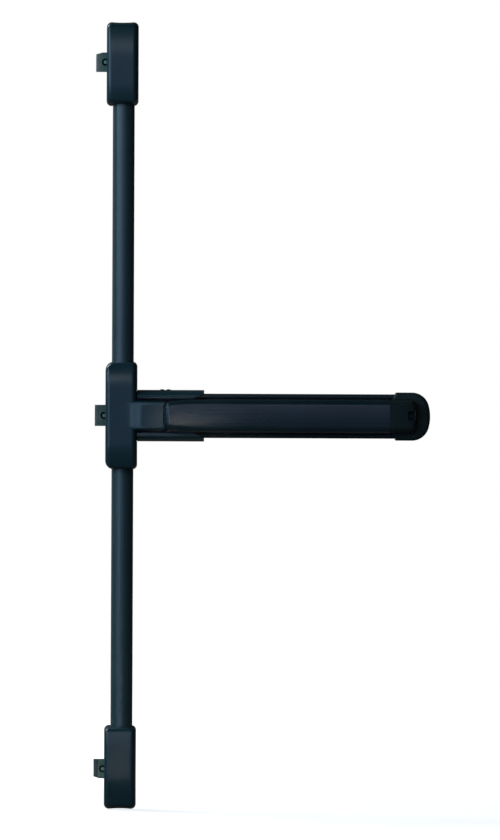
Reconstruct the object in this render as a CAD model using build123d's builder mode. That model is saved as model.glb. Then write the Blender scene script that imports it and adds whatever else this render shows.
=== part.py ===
from build123d import *
import math
import os

# Three-point panic lock with a push bar, for the inner face of an outward opening door.
# X runs along the push bar to the right, Y goes into the door and Z is up. The door's face is
# the plane Y = 0, and the origin is the middle of the central case's four fixing holes.
# A depth is a distance out from the door's face, toward the person who pushes. All in mm.

# Fits and gaps
SEAT_GAP = 0.3          # between fixed pieces that sit in or round each other
RUN_GAP = 0.3           # between pieces that slide or swing past each other
PIN_FIT = 0.05          # radial, round a pin or screw in its hole
SLOT_PLAY = 0.3         # each side of a drive pin in its slot
TURN_FIT = 0.08         # radial, round a pivot that a lever turns on
HEAD_GAP = 0.1          # under a pin's head
PAST = 1.0              # how far a cut runs past the face it opens
HAIR = 0.01             # tolerance when edges are told apart by their place
LEAST_EDGE = 1.0        # least rounding inside a hollow

# Travel from rest to fully pushed
PUSH_TRAVEL = 13.0
SLIDE_TRAVEL = 15.0
ROD_TRAVEL = 7.0

# Central case
CASE_HALF_WIDTH = 24.0
CASE_HALF_HEIGHT = 81.0
CASE_DEPTH = 54.0
CASE_WALL = 2.2
CASE_LEFT_CORNER = 13.0
CASE_RIGHT_CORNER = 7.5
CASE_EDGE = 7.0
CASE_SIDE_DRAFT = 1.0
CASE_END_DRAFT = 2.5
CASE_WAY_START = 10.0   # the opening under the neck: where it starts,
CASE_WAY_HALF = 38.4    # half its height
CASE_WAY_DEPTH = 18.0   # and its depth where it is as high as that
PLATE = 2.5             # thickness of the steel back plates
CASE_ROLL = (38.0, 10.0)        # of the front's two ends: length, and fall toward the door
CASE_HOLES_ACROSS = 28.0
CASE_HOLES_UP = 2 * CASE_HALF_HEIGHT - 30.0
FIXING_HOLE = 5.5

# Top and bottom cases, the same size, one at each end of the rods
END_CASE_INNER = 465.0
END_CASE_OUTER = 592.0
END_CASE_DEPTH = 44.0
END_CASE_CORNER = 7.5
END_CASE_EDGE = 7.0
END_CASE_SIDE_DRAFT = 1.2
END_CASE_END_DRAFT = 5.0
END_CASE_DIP = 1.5      # how far the outer end is hollowed in its middle
END_CASE_INNER_ROLL = (33.0, 6.0)
END_CASE_OUTER_ROLL = (56.0, 11.0)
END_HOLES_INNER = END_CASE_INNER + 15.0
END_HOLES_OUTER = END_CASE_OUTER - 17.0

# Neck of the central cover, which rises to the push pad
PAD_DEPTH = 74.0
NECK_HALF_WIDTH = 21.8
NECK_DEPTH = PAD_DEPTH - PUSH_TRAVEL - 1.0
NECK_FOOT = 46.0        # depth of the neck's lower edge
NECK_HOLLOW_FOOT = 26.0
NECK_BAND_HALF = 16.0
NECK_BAND_RAMP = (10.5, 32.5)       # the steep ramp in its middle, along X
NECK_SHOULDER_RAMP = (8.0, 47.0)    # the gentle ramps above and below that
NECK_RIM = 67.0         # where the arms beside the pad end
NECK_EDGE = 4.0

# Push rail
RAIL_HALF = 33.25
RAIL_DEPTH = 44.0
RAIL_BASE = 3.0
RAIL_WALL = 2.5
RAIL_LIP_DEPTH = 36.0
RAIL_LIP_HALF = 25.9
RAIL_BEAD = 3.2
RAIL_PLAY = 0.4         # round the rail's front in the pieces over its ends
RAIL_START = 100.0
RAIL_END = 430.0

# Housing round the rail's left end
BRACKET_HALF = 38.7
BRACKET_MOUTH_HALF = 26.0
BRACKET_BEVEL = 2.0
# Corners of its grooved flank, from the door outward: half height, depth and rounding
BRACKET_FLANK = ((37.4, 37.0, 10.0), (34.8, 44.2, 0.0), (33.0, 45.2, 0.6), (32.5, 47.2, 0.8),
                 (30.6, 48.8, 1.4), (28.4, 48.2, 0.0), (26.0, 48.0, 0.0))
BRACKET_END = 124.5
BRACKET_LIP_END = 105.5         # where its slanted lips end at their mouth
BRACKET_LIP_OUTER = 33.0        # half height at which the slant meets the end
BRACKET_TIE_LAP = 5.0           # how far the strip between its flanks reaches into the case
BRACKET_TIE_HALF = CASE_WAY_HALF - 0.8
BRACKET_EAR_DEPTH = 20.0
CLAMP_SCREWS = (61.5, 71.0)
CLAMP_SCREW_DEPTH = 12.0
CLAMP_SCREW = 4.0
CLAMP_HEAD = 5.6
CLAMP_HEAD_START = 38.45
CLAMP_HEAD_END = 39.7
CLAMP_MARGIN = 6.0      # of ear beyond the screws
BRACKET_BASE_START = 52.0
BRACKET_BASE_END = 98.0
BRACKET_HOLES_ACROSS = 30.0
BRACKET_HOLES_UP = 32.0
TONGUE = 2.0            # thickness of the tongues over the rail's floor
TONGUE_HALF = 27.0
TONGUE_REACH = 20.0
TONGUE_ROOT = 10.0

# Push pad
PAD_LEFT = 64.5
PAD_RIGHT = 403.0
PAD_HALF = 24.25
PAD_NOSE_HALF = 19.6
PAD_TAPER_START = 110.0
PAD_NOSE_CORNER = 10.5
PAD_BACK = 33.7
PAD_WALL = 2.0
PAD_FRONT_WALL = 2.5
PAD_EDGE = 9.5
PAD_CROWN = 2.0         # how far its front falls away toward its upper and lower sides
PAD_TOE = 2.0
PAD_TOE_HALF = 28.5
PAD_TOE_START = 128.0
PAD_GAP = 1.2           # round the pad where a fixed piece frames it

# End block of the pad, and the cap on the rail's end
BLOCK_RIGHT = 442.5
BLOCK_DEPTH = PAD_DEPTH - 8.0    # of its front at the right end
BLOCK_CROWN = 1.4
BLOCK_CORNER = PAD_EDGE + 1.0
BLOCK_BACK = 38.0
BLOCK_WALL = 2.5
SPIGOT_LENGTH = 12.0
SPIGOT_BACK = 44.0
RECESS_X = BLOCK_RIGHT - 7.7
RECESS_Z = 1.0
RECESS_WIDTH = 9.0
RECESS_HEIGHT = 13.5
RECESS_CORNER = 3.0
RECESS_FLOOR = BLOCK_DEPTH - 10.0
RECESS_WALL = 2.0
END_SCREW = 4.0
END_SCREW_HEAD = 7.0
END_SCREW_HEAD_HEIGHT = 3.5
END_SCREW_SOCKET = 1.7  # centre to corner of its hexagon
END_SCREW_SOCKET_DEPTH = 2.0
CARRIER = 3.0
CARRIER_HALF = 8.0
CAP_LEFT = RAIL_END - 25.0
CAP_SHOULDER = CAP_LEFT + 7.5
CAP_RIGHT = RAIL_END + 33.5
CAP_HALF = 36.1
CAP_CORNER = 26.0
CAP_BULGE = 11.0        # of its right end
CAP_DEPTH = 48.0
CAP_WALL = 2.3
CAP_HOLLOW_DEPTH = 40.0
CAP_EDGE = 6.0
END_FOOT_CENTRE = RAIL_END - 2.5
END_FOOT_RIGHT = RAIL_END + 28.0
END_HOLES_X = RAIL_END + 15.0
END_HOLES_ACROSS = 14.0
END_HOLES_UP = 28.0
END_STEP_LEFT = RAIL_END + 2 * SEAT_GAP     # where the end bracket steps up over the rail's floor
END_STEP = 2.4
END_EAR_HALF = 3.5
END_EAR_INSET = 2.0
END_CAP_SCREW_SUNK = 1.8

# Rods and their covers
ROD_X = 2.0
ROD_DEPTH = 10.0
ROD_DIAMETER = 8.0
ROD_TONGUE_WIDTH = 10.0
ROD_TONGUE_BACK = 6.0
ROD_TONGUE_PAST = 5.0   # beyond the pin
ROD_TONGUE_LENGTH = 12.0
ROD_TONGUE_LAP = 6.0    # with the round part
ROD_COVER_HALF = 16.4
ROD_COVER_SKIRT = 4.5
ROD_COVER_WALL = 1.6
ROD_COVER_INLET = 6.0   # how far a rod cover reaches into each case
ROD_GUIDES = (170.0, 370.0)
ROD_GUIDE_LENGTH = 14.0
ROD_GUIDE_SCREW = 3.6
ROD_GUIDE_SCREW_X = 9.0

# Layers of the mechanism, as depths out from the door
SLIDE_BACK = 8.0
SLIDE_FRONT = 10.5
CRANK_BACK = 11.0
CRANK_FRONT = 14.0
DRIVE_PIN_FRONT = 15.0
LATCH_BACK = 16.0
LATCH_FRONT = 31.0

# Drive slide under the pad
SLIDE_HALF = 12.0
YOKE_HALF = 22.0
YOKE_LEFT = -2.0
YOKE_RIGHT = 12.0
SLIDE_PIN = 5.0
SLIDE_PAST = 14.0       # beyond the last rocker's pin
ROCKER_WINDOW = 9.0
LUG = 2.5
LUG_HALF = 5.0
LUG_RIM = 1.5
GUIDE_AT = (78.0, 205.0)
GUIDE_LENGTH = 8.0
GUIDE_HALF = 18.0
GUIDE_DEPTH = 14.0
SPRING_LUG_X = 243.0
SPRING_LUG_HALF = 7.0
SPRING_LUG_FRONT = 24.0
SPRING_STOP_X = 283.0
SPRING_STOP = 4.0
SPRING_STOP_FRONT = 25.0
MAIN_SPRING_DEPTH = 18.0
MAIN_SPRING = (12.0, 1.6, 7)    # of each spring: diameter, wire and turns

# Rockers that turn the push into a pull along the bar
ROCKERS = (150.0, 350.0)
ROCKER_DEPTH = 41.0
ROCKER_PAD_ARM = 26.0
ROCKER_SLIDE_ARM = 30.0
ROCKER_HALF = 3.0
ROCKER_HUB = 6.5
ROCKER_PIVOT = 6.0
PAD_PIN = 6.0
ROCKER_PLAY = 0.2
ROCKER_RIM = 2.0        # metal left round the end of each arm's slot
CHEEK_IN = 12.7
CHEEK = 2.5
CHEEK_HEAD = 7.0
CHEEK_FOOT = 9.0
CHEEK_FLOOR = 1.6
PIVOT_HEAD = 8.4
PIVOT_HEAD_HEIGHT = 1.2
FOOT_HALF = 9.0
FOOT_FLANGE = 3.0
FOOT_BASE = 2.5
FOOT_LEG = 5.0

# Cranks, one beside each rod end
CRANK_SHORT = 10.5
CRANK_LONG = 22.5
CRANK_HUB = 6.5
CRANK_PIVOT = 6.0
STUD_COLLAR = 9.0
STUD_HEAD = 10.0
CRANK_PIN = 4.5
CRANK_SHORT_RIM = 1.7   # metal left round the end of each arm's slot
CRANK_LONG_RIM = 1.45
CENTRE_CRANK = (ROD_X + CRANK_SHORT, 40.5)
END_CRANK = (ROD_X - CRANK_SHORT, 507.5)
CENTRE_ROD_PIN = CENTRE_CRANK[1] + ROD_TRAVEL / 2
END_ROD_PIN = END_CRANK[1] + ROD_TRAVEL / 2
CENTRE_YOKE_PIN = (CENTRE_CRANK[0] - SLIDE_TRAVEL / 2, CENTRE_CRANK[1] - CRANK_LONG)

# Latches
LATCH_TIP = -39.5
LATCH_BEVEL = (7.5, 9.0)
LATCH_EASE = (10.0, 2.5)
LATCH_WAY_GAP = 0.5     # round a latch where it passes through a case's wall
CENTRE_LATCH_HALF = 15.9
CENTRE_LATCH_SHOULDER = -14.0
CENTRE_TAIL_END = 13.0
CENTRE_TAIL_HALF = 6.0
TAIL_BACK = 17.0
TAIL_FRONT = 24.0
LATCH_PIN_X = 6.0
LATCH_PIN = 6.0
LATCH_PIN_FRONT = 22.0
END_LATCH_Z = END_CRANK[1] + CRANK_LONG
END_LATCH_HALF = 14.4
END_LATCH_BACK_END = -4.0
END_DRIVE_PIN_X = END_CRANK[0] - SLIDE_TRAVEL / 2
HEAD_PIN_X = -25.5
HEAD_PIN = 5.0
HEAD_PIN_LENGTH = 10.0
HEAD_PIN_SUNK = 0.4
HEAD_RECESS = 8.0
HEAD_RECESS_DEPTH = 2.0
LATCH_GUIDE_LEFT = -19.4
LATCH_GUIDE_RIGHT = -3.5
LATCH_GUIDE_WALL = 1.8
SPRING_TAB_RIGHT = 16.4
END_GUIDE_RIGHT = 19.4
SPRING_TAB = 2.2
SPRING_TAB_GAP = 1.0
LATCH_SPRING = (6.0, 0.9, 7)
END_SPRING = (8.0, 1.1, 6)
END_TAB_HALF = 6.0
END_WALL_RIGHT = 6.0    # of an end latch guide's walls, before the arch
END_ARCH_FOOT = 8.0
END_LEDGE = 3.0

# Small screws that hold the covers to ears on the plates
COVER_SCREW = 4.0
COVER_SCREW_LENGTH = 5.0
EAR = 2.2
EAR_LENGTH = 12.0
EAR_DEPTH = 14.0
EAR_SCREW_DEPTH = 9.0
RIGHT_EARS = CASE_HALF_HEIGHT - 20.0
LEFT_EARS = CASE_HALF_HEIGHT - 26.0
CASE_EARS = ((1, RIGHT_EARS), (1, -RIGHT_EARS), (-1, LEFT_EARS), (-1, -LEFT_EARS))
END_EARS = (END_HOLES_INNER, END_HOLES_OUTER - 14.0)
END_CAP_EARS = ((1, RAIL_END + 5.0), (-1, RAIL_END + 5.0))

os.makedirs("parts", exist_ok=True)


def keep(piece, name):
    """Label a finished piece and write it to a STEP file of its own."""
    piece.part.label = name
    export_step(piece.part, f"parts/{name}.step")


def front(depth):
    """Sketch plane that faces out from the door: x along the bar, y up, extrudes outward."""
    return Plane(origin=(0, -depth, 0), x_dir=(1, 0, 0), z_dir=(0, -1, 0))


def section(x):
    """Sketch plane across the bar: x up the door, y out from it, extrudes to the right."""
    return Plane(origin=(x, 0, 0), x_dir=(0, 0, 1), z_dir=(1, 0, 0))


def plan(z):
    """Sketch plane seen along the rods: x along the bar, y out from the door, extrudes down."""
    return Plane(origin=(0, 0, z), x_dir=(1, 0, 0), z_dir=(0, 0, -1))


def block(x, z, depth, mode=Mode.ADD):
    """Add or cut a block between two places along the bar, up the door and out from it."""
    low_z, high_z = sorted(z)
    with BuildSketch(front(depth[0])) as face:
        with Locations(((x[0] + x[1]) / 2, (low_z + high_z) / 2)):
            Rectangle(x[1] - x[0], high_z - low_z)
    extrude(face.sketch, amount=depth[1] - depth[0], mode=mode)


def pin_out(x, z, depth, diameter, mode=Mode.ADD):
    """Add or cut a round bar that points out from the door, between two depths."""
    with BuildSketch(front(depth[0])) as face:
        with Locations((x, z)):
            Circle(diameter / 2)
    extrude(face.sketch, amount=depth[1] - depth[0], mode=mode)


def pin_up(x, depth, z, diameter, mode=Mode.ADD):
    """Add or cut a round bar that points up the door, between two heights."""
    with BuildSketch(plan(z[1])) as face:
        with Locations((x, depth)):
            Circle(diameter / 2)
    extrude(face.sketch, amount=z[1] - z[0], mode=mode)


def pin_across(x, z, depth, diameter, mode=Mode.ADD):
    """Add or cut a round bar that points along the push bar, between two places on it."""
    with BuildSketch(section(x[0])) as face:
        with Locations((z, depth)):
            Circle(diameter / 2)
    extrude(face.sketch, amount=x[1] - x[0], mode=mode)


def coil(x, z, depth, size):
    """A compression spring along the bar, between two faces that it bears on."""
    diameter, wire, turns = size
    length = x[1] - x[0] - wire
    start = (x[0] + wire / 2, -depth, z)
    with BuildPart() as spring:
        with BuildLine():
            turn = Helix(length / turns, length, (diameter - wire) / 2, start, (1, 0, 0))
        with BuildSketch(Plane(origin=turn @ 0, z_dir=turn % 0)):
            Circle(wire / 2)
        sweep(is_frenet=True)
    return spring.part


def case_face(depth, half_width, low, high, left_corner, right_corner, dip):
    """Outline of a case at one depth, its high end dipped in the middle, low may be above high."""
    with BuildSketch(front(depth)) as face:
        with BuildLine():
            Polyline((-half_width, high), (-half_width, low), (half_width, low), (half_width, high))
            if dip:
                middle = high - math.copysign(dip, high)
                ThreePointArc((half_width, high), (0, middle), (-half_width, high))
            else:
                Line((half_width, high), (-half_width, high))
        make_face()
        fillet(face.vertices().filter_by(lambda corner: corner.X < 0), left_corner)
        fillet(face.vertices().filter_by(lambda corner: corner.X > half_width - 0.01), right_corner)
    return face.sketch


def rolled_front(low, high, depth, rolls):
    """Everything behind a case's front: flat in its middle, its ends rolled toward the door."""
    toward = math.copysign(1, high - low)
    (low_length, low_fall), (high_length, high_fall) = rolls
    start = (low + toward * low_length, depth)
    finish = (high - toward * high_length, depth)
    low_end = (low, depth - low_fall)
    high_end = (high, depth - high_fall)
    with BuildPart() as behind:
        with BuildSketch(section(-CASE_HALF_WIDTH - PAST)) as face:
            with BuildLine():
                TangentArc(start, low_end, tangent=(-toward, 0))
                Polyline(low_end, (low, -PAST), (high, -PAST), high_end)
                TangentArc(finish, high_end, tangent=(toward, 0))
                Line(start, finish)
            make_face()
        extrude(face.sketch, amount=2 * (CASE_HALF_WIDTH + PAST))
    return behind.part


def case_form(low, high, depth, corners, drafts, rolls, edge, wall=0.0, dip=0.0):
    """A drafted block with a rolled front: the outside of a case, or with a wall its hollow."""
    toward = math.copysign(1, high - low)
    left, right = (max(corner - wall, 0.5) for corner in corners)
    side_draft, end_draft = drafts
    inner_low = low + toward * wall
    inner_high = high - toward * wall
    front_depth = depth - wall
    half_width = CASE_HALF_WIDTH - wall
    back = case_face(0, half_width, inner_low, inner_high, left, right, dip)
    top = case_face(front_depth, half_width - side_draft, inner_low + toward * end_draft,
                    inner_high - toward * end_draft, left, right, dip)
    with BuildPart() as form:
        loft([back, top], ruled=True)
        add(rolled_front(inner_low, inner_high, front_depth, rolls), mode=Mode.INTERSECT)
        rim = form.faces().filter_by(lambda face: face.normal_at().Y < -0.8).edges()
        seams = rim.filter_by(lambda seam: seam.bounding_box().size.Z < HAIR
                              and seam.center().Y < HAIR - front_depth)
        fillet([line for line in rim if line not in seams], max(edge - wall, LEAST_EDGE))
    return form.part


def rod_cover_face(plane, grow=0.0):
    """Half-round outline of a rod cover on short straight skirts."""
    radius = ROD_COVER_HALF + grow
    with BuildSketch(plane) as face:
        with BuildLine():
            Polyline((ROD_X - radius, ROD_COVER_SKIRT), (ROD_X - radius, 0), (ROD_X + radius, 0),
                     (ROD_X + radius, ROD_COVER_SKIRT))
            ThreePointArc((ROD_X + radius, ROD_COVER_SKIRT), (ROD_X, ROD_COVER_SKIRT + radius),
                          (ROD_X - radius, ROD_COVER_SKIRT))
        make_face()
    return face.sketch


def case_ears(ears):
    """Ears bent up from a plate near its sides, each with a hole for a cover screw."""
    outer = CASE_HALF_WIDTH - CASE_WALL - CASE_SIDE_DRAFT - SEAT_GAP
    for side, z in ears:
        span = sorted((side * (outer - EAR), side * outer))
        block(span, (z - EAR_LENGTH / 2, z + EAR_LENGTH / 2), (0, EAR_DEPTH))
        pin_across(span, z, EAR_SCREW_DEPTH, COVER_SCREW + 2 * PIN_FIT, Mode.SUBTRACT)


def cover_screws(ears):
    """Headless screws through a case's side walls into the ears, just under flush."""
    outer = CASE_HALF_WIDTH - SEAT_GAP - CASE_SIDE_DRAFT / 2
    for side, z in ears:
        span = sorted((side * (outer - COVER_SCREW_LENGTH), side * outer))
        pin_across(span, z, EAR_SCREW_DEPTH, COVER_SCREW)


def cover_screw_holes(ears):
    """Clearance holes through a case's side walls for its screws."""
    for side, z in ears:
        span = sorted((side * (CASE_HALF_WIDTH + PAST),
                       side * (CASE_HALF_WIDTH - CASE_WALL - CASE_SIDE_DRAFT - PAST)))
        pin_across(span, z, EAR_SCREW_DEPTH, COVER_SCREW + 2 * SEAT_GAP, Mode.SUBTRACT)


def latch_way(middle, half):
    """Opening in a case's left wall that a latch slides through."""
    block((-CASE_HALF_WIDTH - PAST, 0),
          (middle - half - LATCH_WAY_GAP, middle + half + LATCH_WAY_GAP),
          (LATCH_BACK - LATCH_WAY_GAP, LATCH_FRONT + LATCH_WAY_GAP), Mode.SUBTRACT)


def make_case_plate():
    """Steel back plate of the central case, screwed to the door."""
    inner = CASE_HALF_WIDTH - CASE_WALL - SEAT_GAP
    reach = CASE_HALF_HEIGHT - ROD_COVER_INLET - SEAT_GAP
    outline = case_face(0, inner, -reach, reach, CASE_LEFT_CORNER - CASE_WALL,
                        CASE_RIGHT_CORNER - CASE_WALL, 0)
    with BuildPart() as plate:
        extrude(outline, amount=PLATE)
        case_ears(CASE_EARS)
        with BuildSketch(front(0)) as holes:
            with GridLocations(CASE_HOLES_ACROSS, CASE_HOLES_UP, 2, 2):
                Circle(FIXING_HOLE / 2)
        extrude(holes.sketch, amount=PLATE, mode=Mode.SUBTRACT)
        for side in (1, -1):
            pin_out(CENTRE_CRANK[0], side * CENTRE_CRANK[1], (0, PLATE),
                    CRANK_PIVOT + 2 * PIN_FIT, Mode.SUBTRACT)
    keep(plate, "case_back_plate")


def neck_ridge(ramp, half, end, foot, wall=0.0):
    """Solid under one ramp of the neck, an S from the case up to the neck's height, then level."""
    start, top = (x + wall for x in ramp)
    base = CASE_DEPTH - wall
    rise = NECK_DEPTH - wall
    length = top - start
    with BuildPart() as ridge:
        with BuildSketch(plan(0)) as face:
            with BuildLine():
                Polyline((start, base), (start, foot), (end, foot), (end, rise), (top, rise))
                Bezier((top, rise), (start + 0.6 * length, rise), (start + 0.38 * length, base),
                       (start, base))
            make_face()
        extrude(face.sketch, amount=half - wall, both=True)
    return ridge.part


def pad_face(plane, right, grow=0.0):
    """The pad seen from the front: straight sides that draw in to a rounded left end."""
    left = PAD_LEFT - grow
    half = PAD_HALF + grow
    nose = PAD_NOSE_HALF + grow
    with BuildSketch(plane) as face:
        with BuildLine():
            Line((left, -nose), (left, nose))
            TangentArc((PAD_TAPER_START, half), (left, nose), tangent=(-1, 0))
            TangentArc((PAD_TAPER_START, -half), (left, -nose), tangent=(-1, 0))
            Polyline((PAD_TAPER_START, half), (right, half), (right, -half),
                     (PAD_TAPER_START, -half))
        make_face()
        fillet(face.vertices().group_by(Axis.X)[0], PAD_NOSE_CORNER + grow)
    return face.sketch


def make_case_cover():
    """Cast cover of the central case, in one piece with the neck that rises to the pad."""
    corners = (CASE_LEFT_CORNER, CASE_RIGHT_CORNER)
    drafts = (CASE_SIDE_DRAFT, CASE_END_DRAFT)
    rolls = (CASE_ROLL, CASE_ROLL)
    outside = case_form(-CASE_HALF_HEIGHT, CASE_HALF_HEIGHT, CASE_DEPTH, corners, drafts, rolls,
                        CASE_EDGE)
    hollow = case_form(-CASE_HALF_HEIGHT, CASE_HALF_HEIGHT, CASE_DEPTH, corners, drafts, rolls,
                       CASE_EDGE, CASE_WALL)
    shoulders = neck_ridge(NECK_SHOULDER_RAMP, NECK_HALF_WIDTH, NECK_RIM, NECK_FOOT)
    band = neck_ridge(NECK_BAND_RAMP, NECK_BAND_HALF, NECK_RIM, NECK_FOOT)
    neck_hollow = neck_ridge(NECK_SHOULDER_RAMP, NECK_HALF_WIDTH, PAD_LEFT, NECK_HOLLOW_FOOT,
                             CASE_WALL)
    band_hollow = neck_ridge(NECK_BAND_RAMP, NECK_BAND_HALF, PAD_LEFT, NECK_HOLLOW_FOOT,
                             CASE_WALL)
    rod_way = rod_cover_face(plan(CASE_HALF_HEIGHT + PAST), SEAT_GAP)
    pad_way = pad_face(front(NECK_HOLLOW_FOOT), PAD_RIGHT, PAD_GAP)
    with BuildPart() as cover:
        add(shoulders)
        sides = cover.faces().filter_by(Axis.Z).edges()
        fillet(sides.filter_by(lambda edge: edge.center().Y < -NECK_FOOT - HAIR
                               and edge.bounding_box().size.X > HAIR), NECK_EDGE)
        add(outside)
        add(band)
        add(hollow, mode=Mode.SUBTRACT)
        add(neck_hollow, mode=Mode.SUBTRACT)
        add(band_hollow, mode=Mode.SUBTRACT)
        extrude(pad_way, amount=PAD_DEPTH, mode=Mode.SUBTRACT)
        extrude(rod_way, amount=2 * (CASE_HALF_HEIGHT + PAST), mode=Mode.SUBTRACT)
        latch_way(0, CENTRE_LATCH_HALF)
        side_way = (CASE_WAY_START, CASE_HALF_WIDTH + PAST)
        neck_way = NECK_HALF_WIDTH - CASE_WALL
        block(side_way, (-CASE_WAY_HALF, CASE_WAY_HALF), (0, CASE_WAY_DEPTH), Mode.SUBTRACT)
        block(side_way, (-neck_way, neck_way), (CASE_WAY_DEPTH, NECK_FOOT), Mode.SUBTRACT)
        cover_screw_holes(CASE_EARS)
    keep(cover, "case_cover")


def crank(pivot, rod_pin, drive_pin, name):
    """Bell crank beside a rod end: a short arm for the rod's pin and a long one for the drive's."""
    def reach(pin):
        return math.dist(pivot, pin)

    def way(pin):
        return math.degrees(math.atan2(pin[1] - pivot[1], pin[0] - pivot[0]))

    def slot_span(pin, nearest):
        return nearest - SLOT_PLAY / 2, reach(pin) + SLOT_PLAY / 2

    slot_width = CRANK_PIN + 2 * SLOT_PLAY
    arms = ((rod_pin, CRANK_SHORT, slot_width + 2 * CRANK_SHORT_RIM),
            (drive_pin, CRANK_LONG, slot_width + 2 * CRANK_LONG_RIM))
    with BuildPart() as lever:
        with BuildSketch(front(CRANK_BACK)) as face:
            with Locations(pivot):
                Circle(CRANK_HUB)
                for pin, nearest, width in arms:
                    length = slot_span(pin, nearest)[1]
                    with Locations(Location((0, 0), way(pin))):
                        with Locations((length / 2, 0)):
                            SlotCenterToCenter(length, width)
                for pin, nearest, width in arms:
                    near, far = slot_span(pin, nearest)
                    with Locations(Location((0, 0), way(pin))):
                        with Locations(((near + far) / 2, 0)):
                            SlotCenterToCenter(far - near, slot_width, mode=Mode.SUBTRACT)
                Circle(CRANK_PIVOT / 2 + TURN_FIT, mode=Mode.SUBTRACT)
        extrude(face.sketch, amount=CRANK_FRONT - CRANK_BACK)
    keep(lever, name)


def crank_stud(x, z):
    """Stud that a crank turns on: a collar behind the crank and a retaining head in front."""
    pin_out(x, z, (0, CRANK_FRONT + RUN_GAP), CRANK_PIVOT)
    pin_out(x, z, (PLATE, CRANK_BACK - RUN_GAP), STUD_COLLAR)
    pin_out(x, z, (CRANK_FRONT + RUN_GAP, LATCH_BACK - RUN_GAP), STUD_HEAD)


def make_case_studs():
    """The two crank studs of the central case."""
    with BuildPart() as studs:
        for side in (1, -1):
            crank_stud(CENTRE_CRANK[0], side * CENTRE_CRANK[1])
    keep(studs, "case_crank_studs")


def make_screws(ears_by_place):
    """One group of cover screws for each case."""
    for name, ears in ears_by_place.items():
        with BuildPart() as screws:
            cover_screws(ears)
        keep(screws, name)


def latch_head(x_end, middle, half, taper_side):
    """Latch head: a bevelled tip toward the strike, its outer corner eased on one side."""
    bevel_out, bevel_along = LATCH_BEVEL
    ease_out, ease_up = LATCH_EASE
    with BuildSketch(plan(middle)) as face:
        Polygon((LATCH_TIP, LATCH_BACK), (LATCH_TIP, LATCH_FRONT - bevel_along),
                (LATCH_TIP + bevel_out, LATCH_FRONT), (x_end, LATCH_FRONT), (x_end, LATCH_BACK),
                align=None)
    extrude(face.sketch, amount=half, both=True)
    if taper_side:
        edge = middle + taper_side * half
        with BuildSketch(front(LATCH_BACK)) as ease:
            Polygon((LATCH_TIP, edge), (LATCH_TIP + ease_out, edge),
                    (LATCH_TIP, edge - taper_side * ease_up), align=None)
        extrude(ease.sketch, amount=LATCH_FRONT - LATCH_BACK, mode=Mode.SUBTRACT)
    pin_out(HEAD_PIN_X, middle, (LATCH_FRONT - HEAD_RECESS_DEPTH, LATCH_FRONT), HEAD_RECESS,
            Mode.SUBTRACT)
    pin_out(HEAD_PIN_X, middle, (LATCH_FRONT - HEAD_PIN_LENGTH, LATCH_FRONT),
            HEAD_PIN + 2 * PIN_FIT, Mode.SUBTRACT)


def head_pin(middle):
    """Round pin set in a recess of the latch head, just outside the case."""
    pin_out(HEAD_PIN_X, middle, (LATCH_FRONT - HEAD_PIN_LENGTH, LATCH_FRONT - HEAD_PIN_SUNK),
            HEAD_PIN)


def make_case_latch():
    """Central latch with its tail, whose window lets the strike push it in on closing."""
    window_half = LATCH_PIN / 2 + RUN_GAP
    with BuildPart() as latch:
        latch_head(CENTRE_LATCH_SHOULDER, 0, CENTRE_LATCH_HALF, 0)
        block((CENTRE_LATCH_SHOULDER, CENTRE_TAIL_END), (-CENTRE_TAIL_HALF, CENTRE_TAIL_HALF),
              (TAIL_BACK, TAIL_FRONT))
        block((LATCH_PIN_X - SLIDE_TRAVEL - window_half, LATCH_PIN_X + window_half),
              (-window_half, window_half), (TAIL_BACK - PAST, TAIL_FRONT + PAST), Mode.SUBTRACT)
    keep(latch, "case_latch")
    with BuildPart() as pin:
        head_pin(0)
    keep(pin, "case_latch_pin")


def make_case_latch_guide():
    """Square tube round the central latch, with two tabs that its springs bear on."""
    inner = CENTRE_LATCH_HALF + RUN_GAP
    outer = inner + LATCH_GUIDE_WALL
    shelf = LATCH_BACK - RUN_GAP
    roof = LATCH_FRONT + RUN_GAP
    roof_top = roof + LATCH_GUIDE_WALL
    past_both = (LATCH_GUIDE_LEFT - PAST, LATCH_GUIDE_RIGHT + PAST)
    with BuildPart() as guide:
        block((LATCH_GUIDE_LEFT, LATCH_GUIDE_RIGHT), (-outer, outer), (PLATE, roof_top))
        block(past_both, (-inner, inner), (shelf, roof), Mode.SUBTRACT)
        block(past_both, (-inner, inner), (PLATE - PAST, shelf - LATCH_GUIDE_WALL), Mode.SUBTRACT)
        block((LATCH_GUIDE_RIGHT, SPRING_TAB_RIGHT), (-outer, outer), (roof, roof_top))
        for side in (1, -1):
            block((SPRING_TAB_RIGHT - SPRING_TAB, SPRING_TAB_RIGHT),
                  (side * (CENTRE_TAIL_HALF + SPRING_TAB_GAP), side * (inner - SPRING_TAB_GAP)),
                  (TAIL_BACK, roof))
    keep(guide, "case_latch_guide")


def make_case_latch_springs():
    """Two coil springs that push the central latch out, one each side of its tail."""
    middle = (CENTRE_TAIL_HALF + CENTRE_LATCH_HALF) / 2
    depth = (TAIL_BACK + TAIL_FRONT) / 2
    with BuildPart() as springs:
        for side in (1, -1):
            add(coil((CENTRE_LATCH_SHOULDER, SPRING_TAB_RIGHT - SPRING_TAB), side * middle, depth,
                     LATCH_SPRING))
    keep(springs, "case_latch_springs")


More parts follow.
